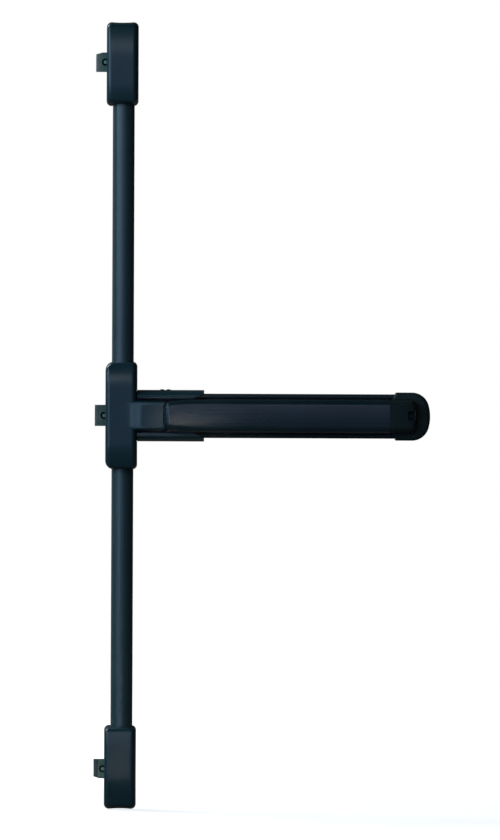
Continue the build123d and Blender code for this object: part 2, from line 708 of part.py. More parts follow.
def make_slide():
    """Flat drive slide: a yoke in the case, a bar along the rail, lugs for the rockers' pins."""
    bar_end = ROCKERS[-1] - SLIDE_TRAVEL / 2 + SLIDE_PAST
    through = (SLIDE_BACK - PAST, SLIDE_FRONT + PAST)
    with BuildPart() as slide:
        block((YOKE_LEFT, YOKE_RIGHT), (-YOKE_HALF, YOKE_HALF), (SLIDE_BACK, SLIDE_FRONT))
        block((YOKE_RIGHT, bar_end), (-SLIDE_HALF, SLIDE_HALF), (SLIDE_BACK, SLIDE_FRONT))
        for pivot in ROCKERS:
            pin_x = pivot - SLIDE_TRAVEL / 2
            window = ROCKER_HALF + 2 * RUN_GAP
            depth = ROCKER_DEPTH - ROCKER_SLIDE_ARM
            block((pin_x - ROCKER_WINDOW, pin_x + ROCKER_WINDOW), (-window, window), through,
                  Mode.SUBTRACT)
            for side in (1, -1):
                block((pin_x - LUG_HALF, pin_x + LUG_HALF), (side * window, side * (window + LUG)),
                      (SLIDE_BACK, depth + SLIDE_PIN / 2 + LUG_RIM))
            pin_up(pin_x, depth, (-window - LUG, window + LUG), SLIDE_PIN + 2 * PIN_FIT,
                   Mode.SUBTRACT)
        block((SPRING_LUG_X, SPRING_LUG_X + LUG), (-SPRING_LUG_HALF, SPRING_LUG_HALF),
              (SLIDE_FRONT, SPRING_LUG_FRONT))
        for side in (1, -1):
            pin_out(CENTRE_YOKE_PIN[0], side * CENTRE_YOKE_PIN[1], through,
                    CRANK_PIN + 2 * PIN_FIT, Mode.SUBTRACT)
        pin_out(LATCH_PIN_X, 0, through, LATCH_PIN + 2 * PIN_FIT, Mode.SUBTRACT)
    keep(slide, "drive_slide")


def make_slide_pins():
    """Pins fixed in the slide: one for the latch, two for the cranks, two for the rockers."""
    window = ROCKER_HALF + 2 * RUN_GAP
    with BuildPart() as pins:
        pin_out(LATCH_PIN_X, 0, (SLIDE_BACK, LATCH_PIN_FRONT), LATCH_PIN)
        for side in (1, -1):
            pin_out(CENTRE_YOKE_PIN[0], side * CENTRE_YOKE_PIN[1], (SLIDE_BACK, DRIVE_PIN_FRONT),
                    CRANK_PIN)
        for pivot in ROCKERS:
            pin_up(pivot - SLIDE_TRAVEL / 2, ROCKER_DEPTH - ROCKER_SLIDE_ARM,
                   (-window - LUG, window + LUG), SLIDE_PIN)
    keep(pins, "slide_pins")


def make_slide_guides():
    """Saddles that carry the slide, and the taller one that its return spring bears on."""
    way_half = SLIDE_HALF + RUN_GAP
    way = (SLIDE_BACK - RUN_GAP, SLIDE_FRONT + RUN_GAP)
    seats = (PLATE, RAIL_BASE)
    with BuildPart() as guides:
        for x, seat in zip(GUIDE_AT, seats):
            block((x, x + GUIDE_LENGTH), (-GUIDE_HALF, GUIDE_HALF), (seat, GUIDE_DEPTH))
            block((x - PAST, x + GUIDE_LENGTH + PAST), (-way_half, way_half), way, Mode.SUBTRACT)
        stop = (SPRING_STOP_X, SPRING_STOP_X + SPRING_STOP)
        block(stop, (-GUIDE_HALF, GUIDE_HALF), (RAIL_BASE, SPRING_STOP_FRONT))
        block((stop[0] - PAST, stop[1] + PAST), (-way_half, way_half), way, Mode.SUBTRACT)
    keep(guides, "slide_guides")


def make_main_spring():
    """Coil spring that pushes the slide, and with it the pad, back to rest."""
    with BuildPart() as spring:
        add(coil((SPRING_LUG_X + LUG, SPRING_STOP_X), 0, MAIN_SPRING_DEPTH, MAIN_SPRING))
    keep(spring, "return_spring")


def make_rockers():
    """Rockers: one arm is pushed in by the pad, the other draws the slide along the bar."""
    half_push = PUSH_TRAVEL / 2
    half_slide = SLIDE_TRAVEL / 2
    arms = ((ROCKER_PAD_ARM, half_push, PAD_PIN), (ROCKER_SLIDE_ARM, half_slide, SLIDE_PIN))
    for pivot, name in zip(ROCKERS, ("left_rocker", "right_rocker")):
        ways = (180 - math.degrees(math.atan2(half_push, ROCKER_PAD_ARM)),
                270 - math.degrees(math.atan2(half_slide, ROCKER_SLIDE_ARM)))
        with BuildPart() as rocker:
            with BuildSketch(plan(ROCKER_HALF)) as face:
                with Locations((pivot, ROCKER_DEPTH)):
                    Circle(ROCKER_HUB)
                    for (arm, half_travel, pin), way in zip(arms, ways):
                        far = math.hypot(arm, half_travel) + ROCKER_PLAY / 2
                        with Locations(Location((0, 0), way)):
                            with Locations((far / 2, 0)):
                                SlotCenterToCenter(far, pin + 2 * (ROCKER_PLAY + ROCKER_RIM))
                    for (arm, half_travel, pin), way in zip(arms, ways):
                        far = math.hypot(arm, half_travel) + ROCKER_PLAY / 2
                        near = arm - ROCKER_PLAY / 2
                        with Locations(Location((0, 0), way)):
                            with Locations(((near + far) / 2, 0)):
                                SlotCenterToCenter(far - near, pin + 2 * ROCKER_PLAY,
                                                   mode=Mode.SUBTRACT)
            extrude(face.sketch, amount=2 * ROCKER_HALF)
            hub_half = CHEEK_IN - RUN_GAP
            pin_up(pivot, ROCKER_DEPTH, (-hub_half, hub_half), 2 * ROCKER_HUB)
            pin_up(pivot, ROCKER_DEPTH, (-hub_half, hub_half), ROCKER_PIVOT + 2 * TURN_FIT,
                   Mode.SUBTRACT)
        keep(rocker, name)


def make_rocker_brackets():
    """Two forked brackets on the rail's floor that carry the rockers' pivot pins."""
    outer = CHEEK_IN + CHEEK
    with BuildPart() as brackets:
        for pivot in ROCKERS:
            for side in (1, -1):
                with BuildSketch(plan(side * (CHEEK_IN + CHEEK / 2))) as face:
                    with Locations((pivot, ROCKER_DEPTH)):
                        Circle(CHEEK_HEAD)
                    Polygon((pivot - CHEEK_FOOT, RAIL_BASE), (pivot + CHEEK_FOOT, RAIL_BASE),
                            (pivot + CHEEK_HEAD, ROCKER_DEPTH), (pivot - CHEEK_HEAD, ROCKER_DEPTH),
                            align=None)
                extrude(face.sketch, amount=CHEEK / 2, both=True)
            block((pivot - CHEEK_FOOT, pivot + CHEEK_FOOT), (-outer, outer),
                  (RAIL_BASE, RAIL_BASE + CHEEK_FLOOR))
            pin_up(pivot, ROCKER_DEPTH, (-outer - PAST, outer + PAST), ROCKER_PIVOT + 2 * PIN_FIT,
                   Mode.SUBTRACT)
    keep(brackets, "rocker_brackets")
    head_start = outer + HEAD_GAP
    head_end = head_start + PIVOT_HEAD_HEIGHT
    with BuildPart() as pins:
        for pivot in ROCKERS:
            pin_up(pivot, ROCKER_DEPTH, (-head_start, head_start), ROCKER_PIVOT)
            pin_up(pivot, ROCKER_DEPTH, (head_start, head_end), PIVOT_HEAD)
            pin_up(pivot, ROCKER_DEPTH, (-head_end, -head_start), PIVOT_HEAD)
    keep(pins, "rocker_pivot_pins")


def crown_face(plane):
    """Everything behind the pad's front in a cut across it, slightly crowned up and down."""
    side = PAD_DEPTH - PAD_CROWN
    with BuildSketch(plane) as face:
        with BuildLine():
            ThreePointArc((-PAD_HALF, side), (0, PAD_DEPTH), (PAD_HALF, side))
            Polyline((PAD_HALF, side), (PAD_HALF, 0), (-PAD_HALF, 0), (-PAD_HALF, side))
        make_face()
    return face.sketch


def make_pad():
    """Hollow push pad whose long toes hook under the rail's lips."""
    with BuildPart() as hollow:
        inside = pad_face(front(PAD_BACK - PAST), PAD_RIGHT + PAD_EDGE, -PAD_WALL)
        extrude(inside, amount=PAD_DEPTH - PAD_FRONT_WALL - PAD_BACK + PAST)
        face = hollow.faces().sort_by(Axis.Y)[0]
        fillet(face.edges().filter_by(lambda edge: edge.center().X < PAD_RIGHT),
               PAD_EDGE - PAD_WALL)
    with BuildPart() as pad:
        extrude(pad_face(front(PAD_BACK), PAD_RIGHT), amount=PAD_DEPTH - PAD_BACK)
        extrude(crown_face(section(PAD_LEFT)), amount=PAD_RIGHT - PAD_LEFT, mode=Mode.INTERSECT)
        face = pad.faces().sort_by(Axis.Y)[0]
        fillet(face.edges().filter_by(lambda edge: edge.center().X < PAD_RIGHT - HAIR), PAD_EDGE)
        add(hollow.part, mode=Mode.SUBTRACT)
        for side in (1, -1):
            block((PAD_TOE_START, PAD_RIGHT), (side * (PAD_HALF - PAD_WALL), side * PAD_TOE_HALF),
                  (PAD_BACK, PAD_BACK + PAD_TOE))
    keep(pad, "push_pad")


def block_face(plane, left, grow=0.0):
    """The pad's end block seen from the front, grown by a gap all round."""
    with BuildSketch(plane) as face:
        with Locations(((left + BLOCK_RIGHT + grow) / 2, 0)):
            Rectangle(BLOCK_RIGHT + grow - left, 2 * (PAD_HALF + grow))
        fillet(face.vertices().group_by(Axis.X)[-1], BLOCK_CORNER + grow)
    return face.sketch


def sloped_front(plane, lower=0.0):
    """Everything in front of the end block's crowned, sloping face, lowered by a wall."""
    left = PAD_RIGHT - SPIGOT_LENGTH - PAST
    start = PAD_RIGHT + SEAT_GAP
    middle = (start + BLOCK_RIGHT) / 2
    crown = (PAD_DEPTH + BLOCK_DEPTH) / 2 + BLOCK_CROWN
    beyond = BLOCK_RIGHT + PAST
    above = PAD_DEPTH + 5 * PAST
    with BuildSketch(plane) as face:
        with BuildLine():
            ThreePointArc((start, PAD_DEPTH - lower), (middle, crown - lower),
                          (BLOCK_RIGHT, BLOCK_DEPTH - lower))
            Polyline((BLOCK_RIGHT, BLOCK_DEPTH - lower), (beyond, BLOCK_DEPTH - lower),
                     (beyond, above), (left, above), (left, PAD_DEPTH - lower),
                     (start, PAD_DEPTH - lower))
        make_face()
    return face.sketch


def recess_face(plane, grow=0.0):
    """Key recess outline: square corners above, rounded corners below."""
    with BuildSketch(plane) as face:
        with Locations((RECESS_X, RECESS_Z)):
            Rectangle(RECESS_WIDTH + 2 * grow, RECESS_HEIGHT + 2 * grow)
        fillet(face.vertices().group_by(Axis.Y)[0], RECESS_CORNER + grow)
    return face.sketch


def faces_out(face):
    """Whether a face looks out from the door."""
    return face.normal_at().Y < -0.9


def make_pad_end():
    """Moulded block that ends the pad, with its carrier strip and a screw down a key recess."""
    start = PAD_RIGHT + SEAT_GAP
    inner_half = PAD_HALF - BLOCK_WALL
    spigot_half = PAD_HALF - PAD_WALL - SEAT_GAP
    spigot_front = PAD_DEPTH - PAD_FRONT_WALL - SEAT_GAP
    with BuildPart() as hollow:
        with BuildSketch(front(BLOCK_BACK - PAST)) as inside:
            with Locations(((start + BLOCK_RIGHT) / 2, 0)):
                Rectangle(BLOCK_RIGHT - start - 2 * BLOCK_WALL, 2 * inner_half)
            fillet(inside.vertices().group_by(Axis.X)[-1], BLOCK_CORNER - BLOCK_WALL)
        extrude(inside.sketch, amount=PAD_DEPTH)
        extrude(sloped_front(plan(0), BLOCK_WALL), amount=PAD_HALF, both=True, mode=Mode.SUBTRACT)
        face = hollow.faces().filter_by(faces_out).sort_by(SortBy.AREA)[-1]
        fillet(face.edges().filter_by(lambda edge: edge.center().X > start + BLOCK_WALL + HAIR),
               PAD_EDGE - BLOCK_WALL)
    with BuildPart() as end:
        extrude(block_face(front(BLOCK_BACK), start), amount=PAD_DEPTH + PAST - BLOCK_BACK)
        extrude(sloped_front(plan(0)), amount=PAD_HALF + PAST, both=True, mode=Mode.SUBTRACT)
        face = end.faces().filter_by(faces_out).sort_by(SortBy.AREA)[-1]
        fillet(face.edges().filter_by(lambda edge: edge.center().X > start + HAIR), PAD_EDGE)
        add(hollow.part, mode=Mode.SUBTRACT)
        extrude(recess_face(front(RECESS_FLOOR - RECESS_WALL), RECESS_WALL),
                amount=BLOCK_DEPTH - RECESS_FLOOR + RECESS_WALL)
        extrude(recess_face(front(RECESS_FLOOR)), amount=PAD_DEPTH, mode=Mode.SUBTRACT)
        pin_out(RECESS_X, RECESS_Z, (BLOCK_BACK, PAD_DEPTH), END_SCREW + 2 * PIN_FIT, Mode.SUBTRACT)
        block((PAD_RIGHT - SPIGOT_LENGTH, start), (-spigot_half, spigot_half),
              (SPIGOT_BACK, spigot_front - PAD_EDGE + PAD_WALL))
        block((PAD_RIGHT - SPIGOT_LENGTH - PAST, start + BLOCK_WALL),
              (-spigot_half + BLOCK_WALL, spigot_half - BLOCK_WALL),
              (BLOCK_BACK - PAST, spigot_front + PAST), Mode.SUBTRACT)
    keep(end, "pad_end_block")
    carrier_top = RECESS_FLOOR - RECESS_WALL
    carrier_back = carrier_top - CARRIER
    carrier_left = PAD_RIGHT - 2 * SPIGOT_LENGTH
    carrier_right = BLOCK_RIGHT - BLOCK_WALL - SEAT_GAP
    across = (-CARRIER_HALF, CARRIER_HALF)
    with BuildPart() as carrier:
        block((carrier_left, carrier_right), across, (carrier_back, carrier_top))
        block((carrier_left, carrier_left + CARRIER), across,
              (carrier_back, PAD_DEPTH - PAD_FRONT_WALL))
        pin_out(RECESS_X, RECESS_Z, (carrier_back - PAST, carrier_top + PAST),
                END_SCREW + 2 * PIN_FIT, Mode.SUBTRACT)
    keep(carrier, "pad_end_carrier")
    head_top = RECESS_FLOOR + END_SCREW_HEAD_HEIGHT
    with BuildPart() as screw:
        pin_out(RECESS_X, RECESS_Z, (carrier_back, RECESS_FLOOR), END_SCREW)
        pin_out(RECESS_X, RECESS_Z, (RECESS_FLOOR, head_top), END_SCREW_HEAD)
        with BuildSketch(front(head_top - END_SCREW_SOCKET_DEPTH)) as socket:
            with Locations((RECESS_X, RECESS_Z)):
                RegularPolygon(END_SCREW_SOCKET, 6)
        extrude(socket.sketch, amount=END_SCREW_HEAD_HEIGHT, mode=Mode.SUBTRACT)
    keep(screw, "pad_end_screw")


def make_pad_feet():
    """Forked feet under the pad's front that hold the pins in the rockers' pad arms."""
    inner = ROCKER_HALF + 2 * RUN_GAP
    outer = inner + CHEEK
    top = PAD_DEPTH - PAD_FRONT_WALL
    pin_depth = ROCKER_DEPTH + PUSH_TRAVEL / 2
    with BuildPart() as feet:
        for pivot in ROCKERS:
            x = pivot - ROCKER_PAD_ARM
            block((x - FOOT_HALF, x + FOOT_HALF), (-outer - FOOT_FLANGE, outer + FOOT_FLANGE),
                  (top - FOOT_BASE, top))
            for side in (1, -1):
                ends = sorted((side * inner, side * outer))
                block((x - FOOT_LEG, x + FOOT_LEG), ends, (pin_depth, top))
                pin_up(x, pin_depth, ends, 2 * FOOT_LEG)
            pin_up(x, pin_depth, (-outer - PAST, outer + PAST), PAD_PIN + 2 * PIN_FIT,
                   Mode.SUBTRACT)
    keep(feet, "pad_feet")
    with BuildPart() as pins:
        for pivot in ROCKERS:
            pin_up(pivot - ROCKER_PAD_ARM, pin_depth, (-outer, outer), PAD_PIN)
    keep(pins, "pad_foot_pins")


def make_rail():
    """Channel rail with rounded lips, fixed to the door behind the pad."""
    with BuildPart() as rail:
        with BuildSketch(section(RAIL_START)) as face:
            with Locations((0, RAIL_DEPTH / 2)):
                Rectangle(2 * RAIL_HALF, RAIL_DEPTH)
            with Locations((0, (RAIL_BASE + RAIL_LIP_DEPTH) / 2)):
                Rectangle(2 * (RAIL_HALF - RAIL_WALL), RAIL_LIP_DEPTH - RAIL_BASE,
                          mode=Mode.SUBTRACT)
            with Locations((0, (RAIL_LIP_DEPTH + RAIL_DEPTH) / 2)):
                Rectangle(2 * RAIL_LIP_HALF, RAIL_DEPTH - RAIL_LIP_DEPTH, mode=Mode.SUBTRACT)
            fillet(face.vertices().group_by(Axis.Y)[-1], RAIL_BEAD)
        extrude(face.sketch, amount=RAIL_END - RAIL_START)
    keep(rail, "push_rail")


def make_bracket():
    """Housing round the rail's left end: two grooved flanks tied by a strip on the door."""
    inner = RAIL_HALF + SEAT_GAP
    ceiling = RAIL_DEPTH + RAIL_PLAY
    left = CASE_HALF_WIDTH + SEAT_GAP
    flank = [(half, depth) for half, depth, rounding in BRACKET_FLANK]
    crest = max(depth for half, depth in flank)
    tie = (PLATE + SEAT_GAP, 2 * PLATE + SEAT_GAP)
    tie_end = CLAMP_SCREWS[0] - CLAMP_MARGIN - SEAT_GAP
    mouth = (BRACKET_MOUTH_HALF - PAST, BRACKET_LIP_OUTER)
    with BuildPart() as bracket:
        with BuildSketch(section(left)) as face:
            with BuildLine():
                Polyline((BRACKET_HALF, 0), *flank, (BRACKET_MOUTH_HALF, ceiling),
                         (inner - BRACKET_BEVEL, ceiling), (inner, ceiling - BRACKET_BEVEL),
                         (inner, 0), close=True)
            make_face()
            for half, depth, rounding in BRACKET_FLANK:
                if rounding:
                    fillet(face.vertices().sort_by_distance((half, depth, 0))[0], rounding)
            mirror(about=Plane.YZ)
        extrude(face.sketch, amount=BRACKET_END - left)
        block((left, tie_end), (-inner - PAST, inner + PAST), tie)
        block((left - BRACKET_TIE_LAP, left), (-BRACKET_TIE_HALF, BRACKET_TIE_HALF), tie)
        with BuildSketch(front(RAIL_LIP_DEPTH)) as slant:
            Polygon((BRACKET_LIP_END, mouth[0]), (BRACKET_END + HAIR, mouth[1]),
                    (BRACKET_END + HAIR, mouth[0]), align=None)
            mirror(about=Plane.XZ)
        extrude(slant.sketch, amount=crest, mode=Mode.SUBTRACT)
        for x in CLAMP_SCREWS:
            pin_up(x, CLAMP_SCREW_DEPTH, (inner - PAST, BRACKET_HALF + PAST),
                   CLAMP_SCREW + 2 * PIN_FIT, Mode.SUBTRACT)
    keep(bracket, "rail_bracket")


def make_bracket_base():
    """Steel base inside the bracket: fixed to the door, its tongue holds the rail's floor down."""
    ear_out = RAIL_HALF
    tongue = (RAIL_BASE + SEAT_GAP, RAIL_BASE + SEAT_GAP + TONGUE)
    tongue_width = (-TONGUE_HALF, TONGUE_HALF)
    ear_span = (CLAMP_SCREWS[0] - CLAMP_MARGIN, CLAMP_SCREWS[1] + CLAMP_MARGIN)
    with BuildPart() as base:
        block((BRACKET_BASE_START, BRACKET_BASE_END), (-ear_out, ear_out), (0, PLATE))
        for side in (1, -1):
            block(ear_span, (side * (ear_out - EAR), side * ear_out), (0, BRACKET_EAR_DEPTH))
        block((BRACKET_BASE_END - TONGUE_ROOT, BRACKET_BASE_END), tongue_width, (0, tongue[1]))
        block((BRACKET_BASE_END, BRACKET_BASE_END + TONGUE_REACH), tongue_width, tongue)
        with BuildSketch(front(0)) as holes:
            with Locations(((BRACKET_BASE_START + BRACKET_BASE_END) / 2, 0)):
                with GridLocations(BRACKET_HOLES_ACROSS, BRACKET_HOLES_UP, 2, 2):
                    Circle(FIXING_HOLE / 2)
        extrude(holes.sketch, amount=PLATE, mode=Mode.SUBTRACT)
        for x in CLAMP_SCREWS:
            pin_up(x, CLAMP_SCREW_DEPTH, (ear_out - EAR - PAST, ear_out + PAST),
                   CLAMP_SCREW + 2 * PIN_FIT, Mode.SUBTRACT)
    keep(base, "bracket_base")
    with BuildPart() as screws:
        for x in CLAMP_SCREWS:
            pin_up(x, CLAMP_SCREW_DEPTH, (ear_out - EAR, CLAMP_HEAD_START), CLAMP_SCREW)
            pin_up(x, CLAMP_SCREW_DEPTH, (CLAMP_HEAD_START, CLAMP_HEAD_END), CLAMP_HEAD)
    keep(screws, "bracket_clamp_screws")


def cap_face(plane, wall, left_corners):
    """Outline of the end cap or its hollow: a bulged, round-cornered right end, its left as given."""
    half = CAP_HALF - wall
    right = CAP_RIGHT - wall
    with BuildSketch(plane) as face:
        with BuildLine():
            Polyline((right - CAP_BULGE, half), *left_corners, (right - CAP_BULGE, -half))
            ThreePointArc((right - CAP_BULGE, -half), (right, 0), (right - CAP_BULGE, half))
        make_face()
        fillet(face.vertices().group_by(Axis.X)[-1], CAP_CORNER - wall)
    return face.sketch


def make_end_cap():
    """Moulded cap over the rail's right end, with an opening that the pad's end block moves in."""
    inner = CAP_HALF - CAP_WALL
    beyond = CAP_LEFT - PAST
    outline = ((CAP_SHOULDER, CAP_HALF), (CAP_LEFT, RAIL_LIP_HALF), (CAP_LEFT, -RAIL_LIP_HALF),
               (CAP_SHOULDER, -CAP_HALF))
    with BuildPart() as cap:
        extrude(cap_face(front(0), 0, outline), amount=CAP_DEPTH)
        rim = cap.faces().sort_by(Axis.Y)[0].edges()
        fillet(rim.filter_by(lambda edge: edge.center().X > CAP_LEFT + HAIR), CAP_EDGE)
        extrude(cap_face(front(0), CAP_WALL, ((beyond, inner), (beyond, -inner))),
                amount=CAP_HOLLOW_DEPTH, mode=Mode.SUBTRACT)
        with BuildSketch(section(beyond)) as lip_way:
            with Locations((0, RAIL_DEPTH / 2)):
                Rectangle(2 * inner, RAIL_DEPTH + 2 * RAIL_PLAY)
            fillet(lip_way.vertices().group_by(Axis.Y)[-1], RAIL_BEAD)
        extrude(lip_way.sketch, amount=RAIL_END + PAST - beyond, mode=Mode.SUBTRACT)
        extrude(block_face(front(0), beyond, PAD_GAP), amount=CAP_DEPTH + PAST, mode=Mode.SUBTRACT)
        for side, x in END_CAP_EARS:
            ends = sorted((side * (inner - END_EAR_INSET), side * (CAP_HALF + PAST)))
            pin_up(x, EAR_SCREW_DEPTH, ends, COVER_SCREW + 2 * SEAT_GAP, Mode.SUBTRACT)
    keep(cap, "rail_end_cap")


def make_end_bracket():
    """Stepped steel bracket that holds the rail's right end to the door and carries the cap."""
    inner = CAP_HALF - CAP_WALL - SEAT_GAP
    step = RAIL_BASE + SEAT_GAP
    across = (-TONGUE_HALF, TONGUE_HALF)
    edge = inner - END_EAR_INSET
    with BuildPart() as bracket:
        with BuildSketch(front(0)) as foot:
            with Locations((END_FOOT_CENTRE, 0)):
                Circle(inner)
            with Locations(((END_STEP_LEFT + END_FOOT_RIGHT) / 2, 0)):
                Rectangle(END_FOOT_RIGHT - END_STEP_LEFT, 2 * inner, mode=Mode.INTERSECT)
        extrude(foot.sketch, amount=PLATE)
        block((END_STEP_LEFT, END_STEP_LEFT + END_STEP), across, (0, step + TONGUE))
        block((CAP_LEFT, END_STEP_LEFT + END_STEP), across, (step, step + TONGUE))
        for side, x in END_CAP_EARS:
            block((x - END_EAR_HALF, x + END_EAR_HALF), (side * (edge - EAR), side * edge),
                  (0, EAR_DEPTH))
            ends = sorted((side * (edge - EAR - PAST), side * (edge + PAST)))
            pin_up(x, EAR_SCREW_DEPTH, ends, COVER_SCREW + 2 * PIN_FIT, Mode.SUBTRACT)
        with BuildSketch(front(0)) as holes:
            with Locations((END_HOLES_X, 0)):
                with GridLocations(END_HOLES_ACROSS, END_HOLES_UP, 2, 2):
                    Circle(FIXING_HOLE / 2)
        extrude(holes.sketch, amount=PLATE, mode=Mode.SUBTRACT)
    keep(bracket, "rail_end_bracket")
    with BuildPart() as screws:
        for side, x in END_CAP_EARS:
            ends = sorted((side * (edge - EAR), side * (CAP_HALF - END_CAP_SCREW_SUNK)))
            pin_up(x, EAR_SCREW_DEPTH, ends, COVER_SCREW)
    keep(screws, "end_cap_screws")


def make_rod(side, name):
    """Round rod with a flat tongue at each end, and the pins that the cranks move it by."""
    near = CENTRE_ROD_PIN - ROD_TONGUE_PAST
    far = END_ROD_PIN + ROD_TONGUE_PAST
    round_part = (CENTRE_ROD_PIN + ROD_TONGUE_LENGTH, END_ROD_PIN - ROD_TONGUE_LENGTH)
    flat = (ROD_TONGUE_BACK, SLIDE_FRONT)
    tongue = (ROD_X - ROD_TONGUE_WIDTH / 2, ROD_X + ROD_TONGUE_WIDTH / 2)
    places = (side * CENTRE_ROD_PIN, side * END_ROD_PIN)
    with BuildPart() as rod:
        pin_up(ROD_X, ROD_DEPTH, sorted(side * z for z in round_part), ROD_DIAMETER)
        block(tongue, (side * near, side * (round_part[0] + ROD_TONGUE_LAP)), flat)
        block(tongue, (side * (round_part[1] - ROD_TONGUE_LAP), side * far), flat)
        for z in places:
            pin_out(ROD_X, z, flat, CRANK_PIN + 2 * PIN_FIT, Mode.SUBTRACT)
    keep(rod, name)
    with BuildPart() as pins:
        for z in places:
            pin_out(ROD_X, z, (ROD_TONGUE_BACK, DRIVE_PIN_FRONT), CRANK_PIN)
    keep(pins, name + "_pins")


def make_rod_cover(side, name):
    """Half-round cover over a rod, its ends tucked into the two cases."""
    near = CASE_HALF_HEIGHT - ROD_COVER_INLET
    far = END_CASE_INNER + ROD_COVER_INLET
    plane = plan(side * near)
    with BuildPart() as cover:
        extrude(rod_cover_face(plane), amount=side * (near - far))
        extrude(rod_cover_face(plan(0), -ROD_COVER_WALL), amount=-side * (far + PAST),
                mode=Mode.SUBTRACT)
    keep(cover, name)


def make_rod_guides():
    """Blocks on the door that the rods slide in and the rod covers snap over."""
    with BuildPart() as guides:
        for side in (1, -1):
            for z in ROD_GUIDES:
                middle = side * z
                face = rod_cover_face(plan(middle), -ROD_COVER_WALL - SEAT_GAP)
                extrude(face, amount=ROD_GUIDE_LENGTH / 2, both=True)
                ends = (middle - ROD_GUIDE_LENGTH, middle + ROD_GUIDE_LENGTH)
                pin_up(ROD_X, ROD_DEPTH, ends, ROD_DIAMETER + 2 * TURN_FIT, Mode.SUBTRACT)
                for across in (-ROD_GUIDE_SCREW_X, ROD_GUIDE_SCREW_X):
                    pin_out(ROD_X + across, middle, (0, ROD_COVER_SKIRT + ROD_COVER_HALF),
                            ROD_GUIDE_SCREW, Mode.SUBTRACT)
    keep(guides, "rod_guides")


def end_ears(side):
    """Where an end case's ears stand: two on each side wall."""
    return [(wall, side * z) for wall in (1, -1) for z in END_EARS]


def make_end_plate(side, name):
    """Steel back plate of an end case."""
    slope = END_CASE_END_DRAFT * PLATE / (END_CASE_DEPTH - CASE_WALL)
    inner = CASE_HALF_WIDTH - CASE_WALL - SEAT_GAP
    low = side * (END_CASE_INNER + ROD_COVER_INLET + SEAT_GAP)
    high = side * (END_CASE_OUTER - CASE_WALL - SEAT_GAP - slope)
    corner = END_CASE_CORNER - CASE_WALL
    outline = case_face(0, inner, low, high, corner, corner, END_CASE_DIP)
    middle = (END_HOLES_INNER + END_HOLES_OUTER) / 2
    with BuildPart() as plate:
        extrude(outline, amount=PLATE)
        case_ears(end_ears(side))
        with BuildSketch(front(0)) as holes:
            with Locations((0, side * middle)):
                with GridLocations(CASE_HOLES_ACROSS, END_HOLES_OUTER - END_HOLES_INNER, 2, 2):
                    Circle(FIXING_HOLE / 2)
        extrude(holes.sketch, amount=PLATE, mode=Mode.SUBTRACT)
        pin_out(END_CRANK[0], side * END_CRANK[1], (0, PLATE), CRANK_PIVOT + 2 * PIN_FIT,
                Mode.SUBTRACT)
    keep(plate, name)


def make_end_cover(side, name):
    """Cast cover of an end case, open on its left for the latch and at its inner end."""
    corners = (END_CASE_CORNER, END_CASE_CORNER)
    drafts = (END_CASE_SIDE_DRAFT, END_CASE_END_DRAFT)
    low = side * END_CASE_INNER
    high = side * END_CASE_OUTER
    rolls = (END_CASE_INNER_ROLL, END_CASE_OUTER_ROLL)
    outside = case_form(low, high, END_CASE_DEPTH, corners, drafts, rolls, END_CASE_EDGE,
                        dip=END_CASE_DIP)
    hollow = case_form(low, high, END_CASE_DEPTH, corners, drafts, rolls, END_CASE_EDGE,
                       CASE_WALL, END_CASE_DIP)
    rod_way = rod_cover_face(plan(side * (END_CASE_INNER - PAST)), SEAT_GAP)
    with BuildPart() as cover:
        add(outside)
        add(hollow, mode=Mode.SUBTRACT)
        extrude(rod_way, amount=-side * 2 * ROD_COVER_INLET, mode=Mode.SUBTRACT)
        latch_way(side * END_LATCH_Z, END_LATCH_HALF)
        cover_screw_holes(end_ears(side))
    keep(cover, name)


def make_end_latch(side, name):
    """End latch, and its two pins: one in its face, one behind it that the crank drives."""
    middle = side * END_LATCH_Z
    with BuildPart() as latch:
        latch_head(END_LATCH_BACK_END, middle, END_LATCH_HALF, side)
        pin_out(END_DRIVE_PIN_X, middle, (LATCH_BACK, TAIL_FRONT), CRANK_PIN + 2 * PIN_FIT,
                Mode.SUBTRACT)
    keep(latch, name)
    with BuildPart() as pins:
        head_pin(middle)
        pin_out(END_DRIVE_PIN_X, middle, (CRANK_BACK - 0.2, TAIL_FRONT), CRANK_PIN)
    keep(pins, name + "_pins")


def make_end_latch_guide(side, name):
    """Guide round an end latch, arched on the rod's side so that the crank can swing under it."""
    gap = END_LATCH_HALF + RUN_GAP
    outer_wall = (side * (END_LATCH_Z + gap), side * (END_LATCH_Z + gap + LATCH_GUIDE_WALL))
    inner_wall = (side * (END_LATCH_Z - gap), side * (END_LATCH_Z - gap - LATCH_GUIDE_WALL))
    roof = LATCH_FRONT + RUN_GAP
    roof_top = roof + LATCH_GUIDE_WALL
    ledge = (CRANK_FRONT + RUN_GAP, LATCH_BACK - RUN_GAP)
    with BuildPart() as guide:
        block((LATCH_GUIDE_LEFT, END_WALL_RIGHT), outer_wall, (PLATE, roof_top))
        block((LATCH_GUIDE_LEFT, SPRING_TAB_RIGHT), inner_wall, (ledge[0], roof_top))
        block((END_ARCH_FOOT, SPRING_TAB_RIGHT), inner_wall, (PLATE, roof_top))
        block((LATCH_GUIDE_LEFT, END_GUIDE_RIGHT), (inner_wall[1], outer_wall[1]), (roof, roof_top))
        for wall, toward in ((outer_wall, -1), (inner_wall, 1)):
            block((LATCH_GUIDE_LEFT, END_WALL_RIGHT),
                  (wall[0], wall[0] + toward * side * END_LEDGE), ledge)
        block((END_GUIDE_RIGHT - SPRING_TAB, END_GUIDE_RIGHT),
              (side * (END_LATCH_Z - END_TAB_HALF), side * (END_LATCH_Z + END_TAB_HALF)),
              (TAIL_BACK, roof))
    keep(guide, name)


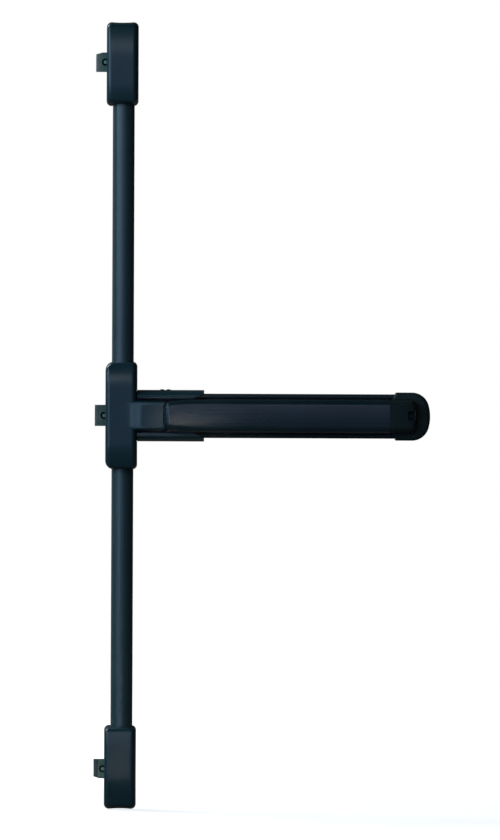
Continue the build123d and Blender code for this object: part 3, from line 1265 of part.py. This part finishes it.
def make_end_spring(side, name):
    """Coil spring that pushes an end latch out."""
    with BuildPart() as spring:
        add(coil((END_LATCH_BACK_END, END_GUIDE_RIGHT - SPRING_TAB), side * END_LATCH_Z,
                 (LATCH_BACK + LATCH_FRONT) / 2, END_SPRING))
    keep(spring, name)


def make_end_case(side, place):
    """Everything in one end case apart from its crank's rod."""
    make_end_plate(side, f"{place}_case_plate")
    make_end_cover(side, f"{place}_case_cover")
    make_end_latch(side, f"{place}_latch")
    make_end_latch_guide(side, f"{place}_latch_guide")
    make_end_spring(side, f"{place}_latch_spring")
    with BuildPart() as stud:
        crank_stud(END_CRANK[0], side * END_CRANK[1])
    keep(stud, f"{place}_crank_stud")
    crank((END_CRANK[0], side * END_CRANK[1]), (ROD_X, side * END_ROD_PIN),
          (END_DRIVE_PIN_X, side * END_LATCH_Z), f"{place}_crank")


make_case_plate()
make_case_cover()
make_case_studs()
make_case_latch()
make_case_latch_guide()
make_case_latch_springs()
for side, rod_name in ((1, "upper"), (-1, "lower")):
    crank((CENTRE_CRANK[0], side * CENTRE_CRANK[1]), (ROD_X, side * CENTRE_ROD_PIN),
          (CENTRE_YOKE_PIN[0], side * CENTRE_YOKE_PIN[1]), f"{rod_name}_crank")
    make_rod(side, f"{rod_name}_rod")
    make_rod_cover(side, f"{rod_name}_rod_cover")
make_rod_guides()
make_end_case(1, "top")
make_end_case(-1, "bottom")
make_screws({"case_cover_screws": CASE_EARS, "top_cover_screws": end_ears(1),
             "bottom_cover_screws": end_ears(-1)})
make_slide()
make_slide_pins()
make_slide_guides()
make_main_spring()
make_rockers()
make_rocker_brackets()
make_pad()
make_pad_end()
make_pad_feet()
make_rail()
make_bracket()
make_bracket_base()
make_end_cap()
make_end_bracket()
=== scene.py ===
# %% [markdown]
# A surface-mounted panic lock: a push pad in a rail, a central case beside it, and two rods
# under covers that carry the pad's push to an end case above and one below.
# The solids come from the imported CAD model, already in place and in metres, so nothing has to
# be fitted. Blender adds what the solids lack: paint, plating, moulded grain, light and a camera.

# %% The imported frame
import math

import bpy
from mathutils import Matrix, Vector


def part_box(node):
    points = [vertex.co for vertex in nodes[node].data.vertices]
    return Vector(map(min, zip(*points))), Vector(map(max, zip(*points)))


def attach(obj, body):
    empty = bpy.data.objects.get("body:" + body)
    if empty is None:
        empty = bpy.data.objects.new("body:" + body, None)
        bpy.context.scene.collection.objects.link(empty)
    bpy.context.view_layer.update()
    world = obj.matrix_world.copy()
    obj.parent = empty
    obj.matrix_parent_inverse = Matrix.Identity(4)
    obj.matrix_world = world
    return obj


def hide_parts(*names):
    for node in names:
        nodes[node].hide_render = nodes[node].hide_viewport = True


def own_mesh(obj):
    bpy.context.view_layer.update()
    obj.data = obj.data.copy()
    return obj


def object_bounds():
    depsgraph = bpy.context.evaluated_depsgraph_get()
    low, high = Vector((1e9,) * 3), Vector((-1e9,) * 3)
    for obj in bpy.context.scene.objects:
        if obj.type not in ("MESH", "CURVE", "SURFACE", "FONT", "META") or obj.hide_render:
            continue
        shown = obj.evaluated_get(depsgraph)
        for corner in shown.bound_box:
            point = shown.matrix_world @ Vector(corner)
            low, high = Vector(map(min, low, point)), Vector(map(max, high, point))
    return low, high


MM = 1000                         # in a metre

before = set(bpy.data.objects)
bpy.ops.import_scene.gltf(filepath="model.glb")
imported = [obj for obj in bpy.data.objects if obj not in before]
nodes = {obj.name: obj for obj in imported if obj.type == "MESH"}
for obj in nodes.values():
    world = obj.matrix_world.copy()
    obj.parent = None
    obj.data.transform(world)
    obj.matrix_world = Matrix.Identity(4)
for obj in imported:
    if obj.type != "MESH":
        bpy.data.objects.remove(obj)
cad_low, cad_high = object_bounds()
print("solids:", len(nodes), "size in mm:", [round(MM * s, 1) for s in cad_high - cad_low])

# %% [markdown]
# The photograph looks straight at every part of the lock at once: no end or side of a case shows
# more at the top of the picture than at its middle. A camera that stands far off with a long
# lens is as flat as that. The lens follows from the scale of the picture, which on the case
# fronts is 1.5 mm to a pixel of a frame 840 pixels tall. The rods lean by a quarter of a degree
# in the picture, so the camera is rolled by as much.

# %% Camera
FRAME_TALL = 840                  # pixels
PIXEL = 0.0015                    # metres on the case fronts
AIM = Vector((0.1935, -0.030, -0.006))
DISTANCE = 14.0
LEVEL = math.radians(90)          # an unturned camera looks down at the floor
ROLL = math.radians(-0.23)
NEAREST, FARTHEST = 0.05, 50.0    # metres between which the camera sees

camera = bpy.data.objects.new("camera", bpy.data.cameras.new("camera"))
bpy.context.scene.collection.objects.link(camera)
camera.location = AIM - Vector((0, DISTANCE, 0))
camera.rotation_euler = (LEVEL, ROLL, 0)
camera.data.lens = camera.data.sensor_width * DISTANCE / (PIXEL * FRAME_TALL)
camera.data.clip_start, camera.data.clip_end = NEAREST, FARTHEST
bpy.context.scene.camera = camera
bpy.context.scene.view_settings.view_transform = "Standard"
print("lens in mm:", round(camera.data.lens, 1))

# %% [markdown]
# The world, the floor and every finish are small trees of nodes. One helper adds a node, sets
# what it is given and links the rest. Colours are written as sRGB hex, as a paint card gives
# them, and one function turns them to the linear values that the renderer adds up.

# %% Helpers for nodes and colours
WHITE = (1, 1, 1, 1)
MIX_A, MIX_B, MIXED = 6, 7, 2     # where a Mix node takes two colours and gives their blend


def add(tree, kind, inputs=None, **settings):
    """One node with its settings; an input is a value, or a socket to link from."""
    node = tree.nodes.new(kind)
    for name, value in settings.items():
        setattr(node, name, value)
    for name, value in (inputs or {}).items():
        if isinstance(value, bpy.types.NodeSocket):
            tree.links.new(value, node.inputs[name])
        else:
            node.inputs[name].default_value = value
    return node


def linear(code):
    """An sRGB hex colour such as "#2A3A46" as linear red, green, blue and alpha."""
    values = [int(code[i:i + 2], 16) / 255 for i in (1, 3, 5)]
    return [v / 12.92 if v <= 0.04045 else ((v + 0.055) / 1.055) ** 2.4 for v in values] + [1.0]


print("mid grey:", [round(v, 3) for v in linear("#808080")])

# %% [markdown]
# The studio is a pale floor and a white wall behind the lock, in a dark room. A lit backdrop
# could be that wall, but its light would reach the lock. So the wall is the world's own white,
# and Light Path tells the rays apart: the camera sees it at strength 1 and all other light
# meets only a dim even fill. A gloss or a clear material sees a quarter of the white behind the
# lock and to its left, and nearly none to the right and on the camera's side, which keeps the
# lock's right sides dark as in the picture.

# %% World
FILL = 0.04
ROOM_GLOSS = 0.01                 # what the room shows in a gloss
WALL_DIM, WALL_LIT = 0.01, 0.25   # what the wall adds to it, right of the lock and left of it
WALL_STARTS, WALL_FULL = 0.15, 0.70   # Y of a direction, where the wall behind the lock shows
DIM_ENDS, LIT_STARTS = 0.05, -0.60    # X of a direction, from the wall's dim part to its lit one

world = bpy.data.worlds.new("studio")
bpy.context.scene.world = world
world.use_nodes = True
tree = world.node_tree
tree.nodes.clear()
path = add(tree, "ShaderNodeLightPath")
place = add(tree, "ShaderNodeTexCoord").outputs["Generated"]
direction = add(tree, "ShaderNodeSeparateXYZ", {0: place})
behind = add(tree, "ShaderNodeMapRange", {"Value": direction.outputs["Y"],
             "From Min": WALL_STARTS, "From Max": WALL_FULL, "To Min": 0.0, "To Max": 1.0},
             interpolation_type="SMOOTHSTEP")
left = add(tree, "ShaderNodeMapRange", {"Value": direction.outputs["X"],
           "From Min": DIM_ENDS, "From Max": LIT_STARTS, "To Min": WALL_DIM, "To Max": WALL_LIT},
           interpolation_type="SMOOTHSTEP")
wall = add(tree, "ShaderNodeMath", {0: behind.outputs["Result"], 1: left.outputs["Result"],
           2: ROOM_GLOSS}, operation="MULTIPLY_ADD", use_clamp=True)
mirrored = add(tree, "ShaderNodeMath", {0: path.outputs["Is Glossy Ray"],
               1: path.outputs["Is Transmission Ray"]}, operation="MAXIMUM")
unseen = add(tree, "ShaderNodeMix", {"Factor": mirrored.outputs[0], "A": FILL,
             "B": wall.outputs[0]})
strength = add(tree, "ShaderNodeMix", {"Factor": path.outputs["Is Camera Ray"],
               "A": unseen.outputs["Result"], "B": 1.0})
background = add(tree, "ShaderNodeBackground", {"Color": WHITE,
                 "Strength": strength.outputs["Result"]})
add(tree, "ShaderNodeOutputWorld", {"Surface": background.outputs[0]})
print("fill:", FILL, "wall in a gloss:", WALL_DIM, "to", WALL_LIT)

# %% [markdown]
# The floor is pale and reaches past the picture's edge. It has to look white and still hold a
# shadow. More light would whiten it, but would wash out the lock, so a plain diffuse floor is
# topped up with a little white that only seen rays meet. The top-up grows with the distance
# from the lock, and the floor runs into the wall unseen. A gloss meets nearly none of it, and
# bounced light a darker floor, since the picture's lock has no pale gleam from below.

# %% Floor
FLOOR_REACH = 6.0                 # metres from its middle to each side
FLOOR_GAP = 0.0005                # metres under the lowest case
FLOOR_NEAR, FLOOR_FAR = 0.4, 1.3  # metres from the lock between which the top-up grows
TOP_UP_NEAR = 0.76                # of white, where the lamps give the rest
FLOOR_GLOSS = 0.05                # of the top-up in a gloss
FLOOR_SEEN, FLOOR_BOUNCED = "#DCDCDA", "#4A4A4A"

floor_mesh = bpy.data.meshes.new("floor")
corners = [(FLOOR_REACH * x, FLOOR_REACH * y, 0) for x, y in ((-1, -1), (1, -1), (1, 1), (-1, 1))]
floor_mesh.from_pydata(corners, [], [(0, 1, 2, 3)])
floor = bpy.data.objects.new("floor", floor_mesh)
bpy.context.scene.collection.objects.link(floor)
floor.location = ((cad_low.x + cad_high.x) / 2, (cad_low.y + cad_high.y) / 2, cad_low.z - FLOOR_GAP)

pale_floor = bpy.data.materials.new("pale_floor")
pale_floor.use_nodes = True
tree = pale_floor.node_tree
tree.nodes.clear()
path = add(tree, "ShaderNodeLightPath")
mirrored = add(tree, "ShaderNodeMath", {0: path.outputs["Is Glossy Ray"],
               1: path.outputs["Is Transmission Ray"]}, operation="MAXIMUM")
seen = add(tree, "ShaderNodeMath", {0: mirrored.outputs[0], 1: FLOOR_GLOSS,
           2: path.outputs["Is Camera Ray"]}, operation="MULTIPLY_ADD")
place = add(tree, "ShaderNodeTexCoord").outputs["Object"]
away = add(tree, "ShaderNodeVectorMath", {0: place}, operation="LENGTH")
top_up = add(tree, "ShaderNodeMapRange", {"Value": away.outputs["Value"], "From Min": FLOOR_NEAR,
             "From Max": FLOOR_FAR, "To Min": TOP_UP_NEAR, "To Max": 1.0},
             interpolation_type="SMOOTHSTEP")
shown = add(tree, "ShaderNodeMath", {0: top_up.outputs["Result"], 1: seen.outputs[0]},
            operation="MULTIPLY")
glow = add(tree, "ShaderNodeEmission", {"Color": WHITE, "Strength": shown.outputs[0]})
paint = add(tree, "ShaderNodeMix", {0: path.outputs["Is Camera Ray"], MIX_A: linear(FLOOR_BOUNCED),
            MIX_B: linear(FLOOR_SEEN)}, data_type="RGBA")
matt = add(tree, "ShaderNodeBsdfDiffuse", {"Color": paint.outputs[MIXED]})
both = add(tree, "ShaderNodeAddShader", {0: glow.outputs[0], 1: matt.outputs[0]})
add(tree, "ShaderNodeOutputMaterial", {"Surface": both.outputs[0]})
floor_mesh.materials.append(pale_floor)
print("floor at z in mm:", round(MM * floor.location.z, 1))

# %% [markdown]
# The light comes from windows on the left and in front: a large one to the left, a smaller and
# nearer one beyond it, which draws the bright line a quarter turn round the rod covers, and a
# wide dim one straight ahead, which shows in the flat fronts. A small high lamp makes the band
# on the rolled upper end of each case. One narrow beam lights the pad's left end and another
# the bottom case. The lamp high behind the lock keeps its back readable, and from the front it
# only touches left and upper edges. Area lamps are chosen for all, as a gloss shows their shape.

# %% Lamps
def soft_lamp(name, place, size, power, colour, aim=(0, 0, 0), beam=180):
    """A rectangular area lamp that looks at a point, its beam this many degrees wide."""
    data = bpy.data.lights.new(name, "AREA")
    data.shape, data.size, data.size_y, data.energy = "RECTANGLE", size[0], size[1], power
    data.color = linear(colour)[:3]
    data.spread = math.radians(beam)
    lamp = bpy.data.objects.new(name, data)
    bpy.context.scene.collection.objects.link(lamp)
    lamp.location = place
    lamp.rotation_euler = (Vector(aim) - Vector(place)).to_track_quat("-Z", "Y").to_euler()
    print(name, "at", [round(v, 2) for v in place], "power", power)


soft_lamp("side_lamp", place=(-2.8, -1.5, 1.3), size=(1.0, 1.6), power=41, colour="#B9DDFF")
soft_lamp("window_lamp", place=(-4.0, -6.0, 1.0), size=(4.0, 4.0), power=131, colour="#B4D3FF")
soft_lamp("wide_lamp", place=(-0.5, -8.0, 0.4), size=(5.0, 5.0), power=41, colour="#A4BAFF")
soft_lamp("high_lamp", place=(-0.8, -9.0, 3.3), size=(1.8, 0.6), power=42, colour="#EEF6FF")
soft_lamp("pad_lamp", place=(0.03, -0.50, -0.05), size=(0.05, 0.02), power=0.005,
          colour="#FFF2E6", aim=(0.145, 0, 0), beam=24)
soft_lamp("low_lamp", place=(-0.3, -3.0, -0.54), size=(0.5, 0.1), power=0.018,
          colour="#FFF2E6", aim=(0, 0, -0.56), beam=12)
soft_lamp("back_lamp", place=(-2.0, 1.6, 2.2), size=(1.2, 1.2), power=60, colour="#E6F0FF",
          aim=(0.1, 0, 0))

# %% [markdown]
# All the finishes of this lock have the same parts: a colour that drifts slowly between two
# others, a fine relief, a gloss that follows one of the two, and sharp edges that are paler,
# both rubbed thin and with a painted highlight along them. Pictures of real paint and metal
# could give these, but they repeat and need the pieces unwrapped. Noise, read at the piece's own
# place, does neither. One function makes the tree, and each finish below gives it sizes in
# millimetres.

# %% A function for the finishes
NOISE_RANGE = {"From Min": 0.3, "From Max": 0.7}       # where nearly all values of a noise lie
EDGE_RANGE = {"From Min": 0.995, "From Max": 0.90}     # cosine of a normal's turn by rounding
EDGE_SAMPLES = 4
PAINT = {"Metallic": 0.0, "IOR": 1.5}
METAL = {"Metallic": 1.0}                            # and the shader's own IOR


def edge_mask(tree, radius):
    """1 on sharp edges and 0 elsewhere: where a rounded normal leaves the true one."""
    rounded = add(tree, "ShaderNodeBevel", {"Radius": radius}, samples=EDGE_SAMPLES)
    true = add(tree, "ShaderNodeNewGeometry")
    match = add(tree, "ShaderNodeVectorMath", {0: rounded.outputs[0], 1: true.outputs["Normal"]},
                operation="DOT_PRODUCT")
    return add(tree, "ShaderNodeMapRange", {"Value": match.outputs["Value"], **EDGE_RANGE,
               "To Min": 0.0, "To Max": 1.0}).outputs["Result"]


def finish(name, shader, dark, light, drift_mm, drift_detail, grain_mm, grain_detail,
           relief, relief_mm, rough, rough_from, drift_rough=0.5, squeeze=(1, 1, 1),
           edge=None, edge_mm=None, over=None):
    """A material whose colour drifts from dark to light, over a fine relief.

    The drift and the grain are noises with waves this many millimetres apart, and squeeze draws
    the grain out along an axis. The roughness goes from the first to the second value of rough
    as the noise that rough_from names grows. over lays more on the colour, and edge pales the
    sharp edges, for wear and as a painted highlight along them.
    """
    material = bpy.data.materials.new(name)
    material.use_nodes = True
    tree = material.node_tree
    tree.nodes.clear()
    place = add(tree, "ShaderNodeTexCoord").outputs["Object"]
    drawn = add(tree, "ShaderNodeVectorMath", {0: place, 1: squeeze}, operation="MULTIPLY")
    drift = add(tree, "ShaderNodeTexNoise", {"Vector": place, "Scale": MM / drift_mm,
                "Detail": drift_detail, "Roughness": drift_rough}).outputs[0]
    grain = add(tree, "ShaderNodeTexNoise", {"Vector": drawn.outputs[0], "Scale": MM / grain_mm,
                "Detail": grain_detail}).outputs[0]
    share = add(tree, "ShaderNodeMapRange", {"Value": drift, **NOISE_RANGE, "To Min": 0.0,
                "To Max": 1.0})
    colour = add(tree, "ShaderNodeMix", {0: share.outputs["Result"], MIX_A: linear(dark),
                 MIX_B: linear(light)}, data_type="RGBA").outputs[MIXED]
    if over:
        colour = over(tree, place, drift, colour)
    # sharp edges paler: rubbed wear, and a painted highlight along them
    if edge:
        colour = add(tree, "ShaderNodeMix", {0: edge_mask(tree, edge_mm / MM), MIX_A: colour,
                     MIX_B: linear(edge)}, data_type="RGBA").outputs[MIXED]
    gloss = add(tree, "ShaderNodeMapRange", {"Value": {"drift": drift, "grain": grain}[rough_from],
                **NOISE_RANGE, "To Min": rough[0], "To Max": rough[1]})
    bump = add(tree, "ShaderNodeBump", {"Height": grain, "Strength": relief,
               "Distance": relief_mm / MM})
    surface = add(tree, "ShaderNodeBsdfPrincipled", {"Base Color": colour, **shader,
                  "Roughness": gloss.outputs["Result"], "Normal": bump.outputs[0]})
    add(tree, "ShaderNodeOutputMaterial", {"Surface": surface.outputs[0]})
    print("made", name)
    return material


print("noise taken from", *NOISE_RANGE.values())

# %% [markdown]
# The cases and the housing round the rail's left end are zinc castings under powder coat: a
# plastic paint, baked on, thick enough to round every edge. It gives the eye a deep blue-black
# with a broad soft sheen and a faint orange peel, never a sharp reflection. On edges that hands
# and door frames rub, the coat is a little thinner and paler, and the paler edge colour is also
# a painted highlight along them.
# The peel's waves are 1 to 2 mm apart on such a coat, which is about a pixel here, so they are
# drawn 3 mm apart. Batches of the powder and dirt change the colour slowly over the surface.

# %% Powder-coated zinc
casting_coat = finish(
    "powder_coated_zinc", {**PAINT, "Specular IOR Level": 0.50}, dark="#16373A", light="#1C3D3E",
    drift_mm=60, drift_detail=3, grain_mm=3, grain_detail=1, relief=0.25, relief_mm=0.2,
    rough=(0.30, 0.38), rough_from="drift", edge="#244444", edge_mm=0.6)

# %% [markdown]
# The rail and the rod covers are aluminium pushed through a die, then painted in the same
# shade. The die leaves fine straight lines along the whole length, and the thin wet paint
# shows them as a slightly drawn-out gloss. The real lines are some tenths of a millimetre
# apart, so they are drawn 1.2 mm apart here. In the picture the rod covers shine like the
# castings and the rail is duller, so they are two paints with the same lines, one along the
# bar and one along the rods. The rail's paint is also given a much darker colour than the rod
# covers', which is painted shade for its lips, which lie out of the light. The grain is drawn
# out by squeezing the place that it is read at.

# %% Painted aluminium extrusion
ALONG_BAR, ALONG_RODS = (0.01, 1.0, 1.0), (1.0, 1.0, 0.01)
EXTRUSION = {
    "drift_mm": 90, "drift_detail": 2, "grain_mm": 1.2, "grain_detail": 1, "relief": 0.2,
    "relief_mm": 0.1, "rough_from": "grain", "edge_mm": 0.5,
}

# the rail's darker colour is painted shade on its lips
rail_paint = finish(
    "painted_extrusion_rail", {**PAINT, "Specular IOR Level": 0.22}, dark="#1F2A29",
    light="#242F2D", edge="#262F2E", rough=(0.35, 0.45), squeeze=ALONG_BAR, **EXTRUSION)
rod_paint = finish(
    "painted_extrusion_rods", {**PAINT, "Specular IOR Level": 0.58}, dark="#304848",
    light="#364F4C", edge="#3B5250", rough=(0.31, 0.41), squeeze=ALONG_RODS, **EXTRUSION)

# %% [markdown]
# The push pad is a painted aluminium profile too, but hands polish it, so it is the smoothest
# of the paints. The die lines run along it as they do on the rail, and they break up its sheen.

# %% Push pad paint
pad_paint = finish(
    "painted_extrusion_pad", {**PAINT, "Specular IOR Level": 0.46}, dark="#12282C",
    light="#182E31", edge="#1A3032", rough=(0.25, 0.35), squeeze=ALONG_BAR, **EXTRUSION)

# %% [markdown]
# The pad's end block, the rail's end cap and the guides are moulded nylon with glass fibre,
# dyed black. The mould is spark-eroded, so the surface is an even fine grain with no lines, and
# the eye sees a dull black with a slight green cast. The grain is 0.2 mm on the real one and is
# drawn at 1 mm here. Fibres near the surface leave pale, slightly glossier clouds.

# %% Moulded glass-filled nylon
nylon = finish(
    "glass_filled_nylon", {"Metallic": 0.0, "IOR": 1.53, "Specular IOR Level": 0.08},
    dark="#222F2C", light="#2A3734", drift_mm=18, drift_detail=4, drift_rough=0.6, grain_mm=1,
    grain_detail=1, relief=0.35, relief_mm=0.1, rough=(0.54, 0.46), rough_from="drift")

# %% [markdown]
# The latches are sintered steel, pressed from powder and plated with nickel. The eye sees a
# grey metal with a trace of green, dull and faintly speckled by the pores. The tip is rubbed
# bright by the strike plate each time the door closes, and its paler colour is also a painted
# highlight where the lamps catch it. Pores are 0.1 to 0.3 mm, drawn at 0.9 mm. A dark ring of
# painted shade lies in and round the recess about the pin in each latch's face. Both are masks:
# one runs along the bar, and one is the distance from the nearest pin.

# %% Sintered latch steel
PINS = ("case_latch_pin", "top_latch_pins", "bottom_latch_pins")
PIN_RADIUS = 0.0025
# painted shade: the dark ring in and round the recess about each pin
RECESS_SHADE, RECESS_SHADE_RADIUS, RECESS_SHADE_FADE = "#0B1210", 0.0052, 1.1     # gone at the radius times the fade
# the tip: rubbed wear and a painted highlight
TIP, TIP_FULL, TIP_ENDS = "#A0ABA6", -0.040, -0.030    # between these X it fades out
TIP_PATCHY = 0.7                                       # how bright it is where the drift is low

pin_boxes = [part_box(name) for name in PINS]
pin_places = [(low.x + PIN_RADIUS, (low.z + high.z) / 2) for low, high in pin_boxes]
print("pins in mm:", [(round(MM * x, 1), round(MM * z, 1)) for x, z in pin_places])


def worn_lit_tip_and_recess_shade(tree, place, drift, colour):
    """Lays the rubbed tip with its painted highlight, and painted shade round the pins, on the
    colour.
    """
    across = add(tree, "ShaderNodeSeparateXYZ", {0: place}).outputs["X"]
    # the tip's rubbed wear and painted highlight, fading out along X
    rubbed_and_lit_tip = add(tree, "ShaderNodeMapRange", {"Value": across, "From Min": TIP_FULL,
                 "From Max": TIP_ENDS, "To Min": 1.0, "To Max": 0.0})
    patchy = add(tree, "ShaderNodeMapRange", {"Value": drift, **NOISE_RANGE,
                 "To Min": TIP_PATCHY, "To Max": 1.0})
    bright = add(tree, "ShaderNodeMath", {0: rubbed_and_lit_tip.outputs["Result"],
                 1: patchy.outputs["Result"]}, operation="MULTIPLY", use_clamp=True)
    tipped = add(tree, "ShaderNodeMix", {0: bright.outputs[0], MIX_A: colour,
                 MIX_B: linear(TIP)}, data_type="RGBA")
    flat = add(tree, "ShaderNodeVectorMath", {0: place, 1: (1, 0, 1)}, operation="MULTIPLY")
    nearest = 1.0
    for x, z in pin_places:
        away = add(tree, "ShaderNodeVectorMath", {0: flat.outputs[0], 1: (x, 0, z)},
                   operation="DISTANCE")
        nearest = add(tree, "ShaderNodeMath", {0: away.outputs["Value"], 1: nearest},
                      operation="MINIMUM").outputs[0]
    # painted shade in and round each pin's recess
    recess_shaded = add(tree, "ShaderNodeMapRange", {"Value": nearest, "From Min": RECESS_SHADE_RADIUS,
                "From Max": RECESS_SHADE_FADE * RECESS_SHADE_RADIUS, "To Min": 1.0, "To Max": 0.0})
    return add(tree, "ShaderNodeMix", {0: recess_shaded.outputs["Result"], MIX_A: tipped.outputs[MIXED],
               MIX_B: linear(RECESS_SHADE)}, data_type="RGBA").outputs[MIXED]


latch_metal = finish(
    "nickel_plated_sintered_steel", METAL, dark="#4A6254", light="#5A7263", over=worn_lit_tip_and_recess_shade,
    drift_mm=12, drift_detail=3, grain_mm=0.9, grain_detail=2, relief=0.3, relief_mm=0.1,
    rough=(0.39, 0.51), rough_from="grain")

# %% [markdown]
# The hidden plates, cranks, rods and brackets are cold rolled sheet and bar, zinc plated and
# passivated. The plating gives a bluish silver with soft cloudy patches and the rolling lines of
# the sheet below it, which are drawn 0.8 mm apart. Sheared and rubbed edges are a little
# brighter, and the brighter edge colour is also a painted highlight along them.

# %% Zinc-plated steel
ROLLED = {
    "drift_mm": 14, "drift_detail": 4, "drift_rough": 0.6, "grain_mm": 0.8, "grain_detail": 2,
    "relief": 0.15, "relief_mm": 0.1, "rough_from": "drift", "squeeze": (1.0, 1.0, 0.04),
    "edge_mm": 0.4,
}

zinc_metal = finish("zinc_plated_steel", METAL, dark="#8B939B", light="#A3ABB3", edge="#C2C8CC",
                    rough=(0.40, 0.54), **ROLLED)

# %% [markdown]
# The springs are wound from hard drawn wire, which keeps a dark grey drawn skin with a light
# film of oil, so it is smoother and darker than the plating. The screws are blackened steel: a
# thin oxide that leaves the metal's gloss under a nearly black colour, worn grey at the rims.
# The pins in the latches' faces are ground, so they are smoother than the latches; their paler
# colour is partly the ground metal and partly a painted highlight on their heads. The paler
# edges of all three are wear and a painted highlight along them. Drawing and grinding leave
# lines as rolling does, so all three keep the sheet's pattern.

# %% Spring wire, blackened screws and ground pins
spring_metal = finish("drawn_spring_wire", METAL, dark="#5A5F63", light="#6B7074",
                      edge="#8C9194", rough=(0.22, 0.36), **ROLLED)
screw_metal = finish("blackened_steel", METAL, dark="#191B1D", light="#232628", edge="#5A5E61",
                     rough=(0.30, 0.44), **ROLLED)
# paler than the latches: ground metal, and a painted highlight on the pin heads
pin_metal = finish("ground_steel_pins", METAL, dark="#6F8C7C", light="#7E9A8A", edge="#A0B2A8",
                   rough=(0.32, 0.46), **ROLLED)

# %% [markdown]
# Each solid already has the shape of its real piece, so it stays and only gets its finish. The
# record's material slots say which finish a solid takes. The rail lies along the bar and not
# along the rods, and the pins are ground, so these are told apart by name.

# %% Finishes on the solids
FINISHES = {
    "painted_case": casting_coat, "painted_pad": pad_paint, "painted_profile": rod_paint,
    "moulded_black": nylon, "latch_steel": latch_metal, "spring_steel": spring_metal,
    "black_screws": screw_metal, "zinc_steel": zinc_metal,
}
for node in nodes.values():
    for index, old in enumerate(node.data.materials):
        node.data.materials[index] = FINISHES[old.name.split(".")[0]]
nodes["push_rail"].data.materials[0] = rail_paint
for name in PINS:
    nodes[name].data.materials[0] = pin_metal
print("finished solids:", len(nodes))

# %% [markdown]
# The springs shorten as the pad goes in, each between the piece that moves and a fixed seat to
# its right. A solid can't change its shape, so each spring is drawn as a copy of its solid,
# fixed to the frame, while the solid itself is hidden.

# %% Spring copies on the frame
SPRINGS = {
    "return_spring": "slide_travel", "case_latch_springs": "case_latch_travel",
    "top_latch_spring": "top_latch_travel", "bottom_latch_spring": "bottom_latch_travel",
}
for name, joint in SPRINGS.items():
    coil = bpy.data.objects.new(name + "_coil", nodes[name].data.copy())
    bpy.context.scene.collection.objects.link(coil)
    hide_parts(name)
    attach(coil, "frame")
    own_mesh(coil)
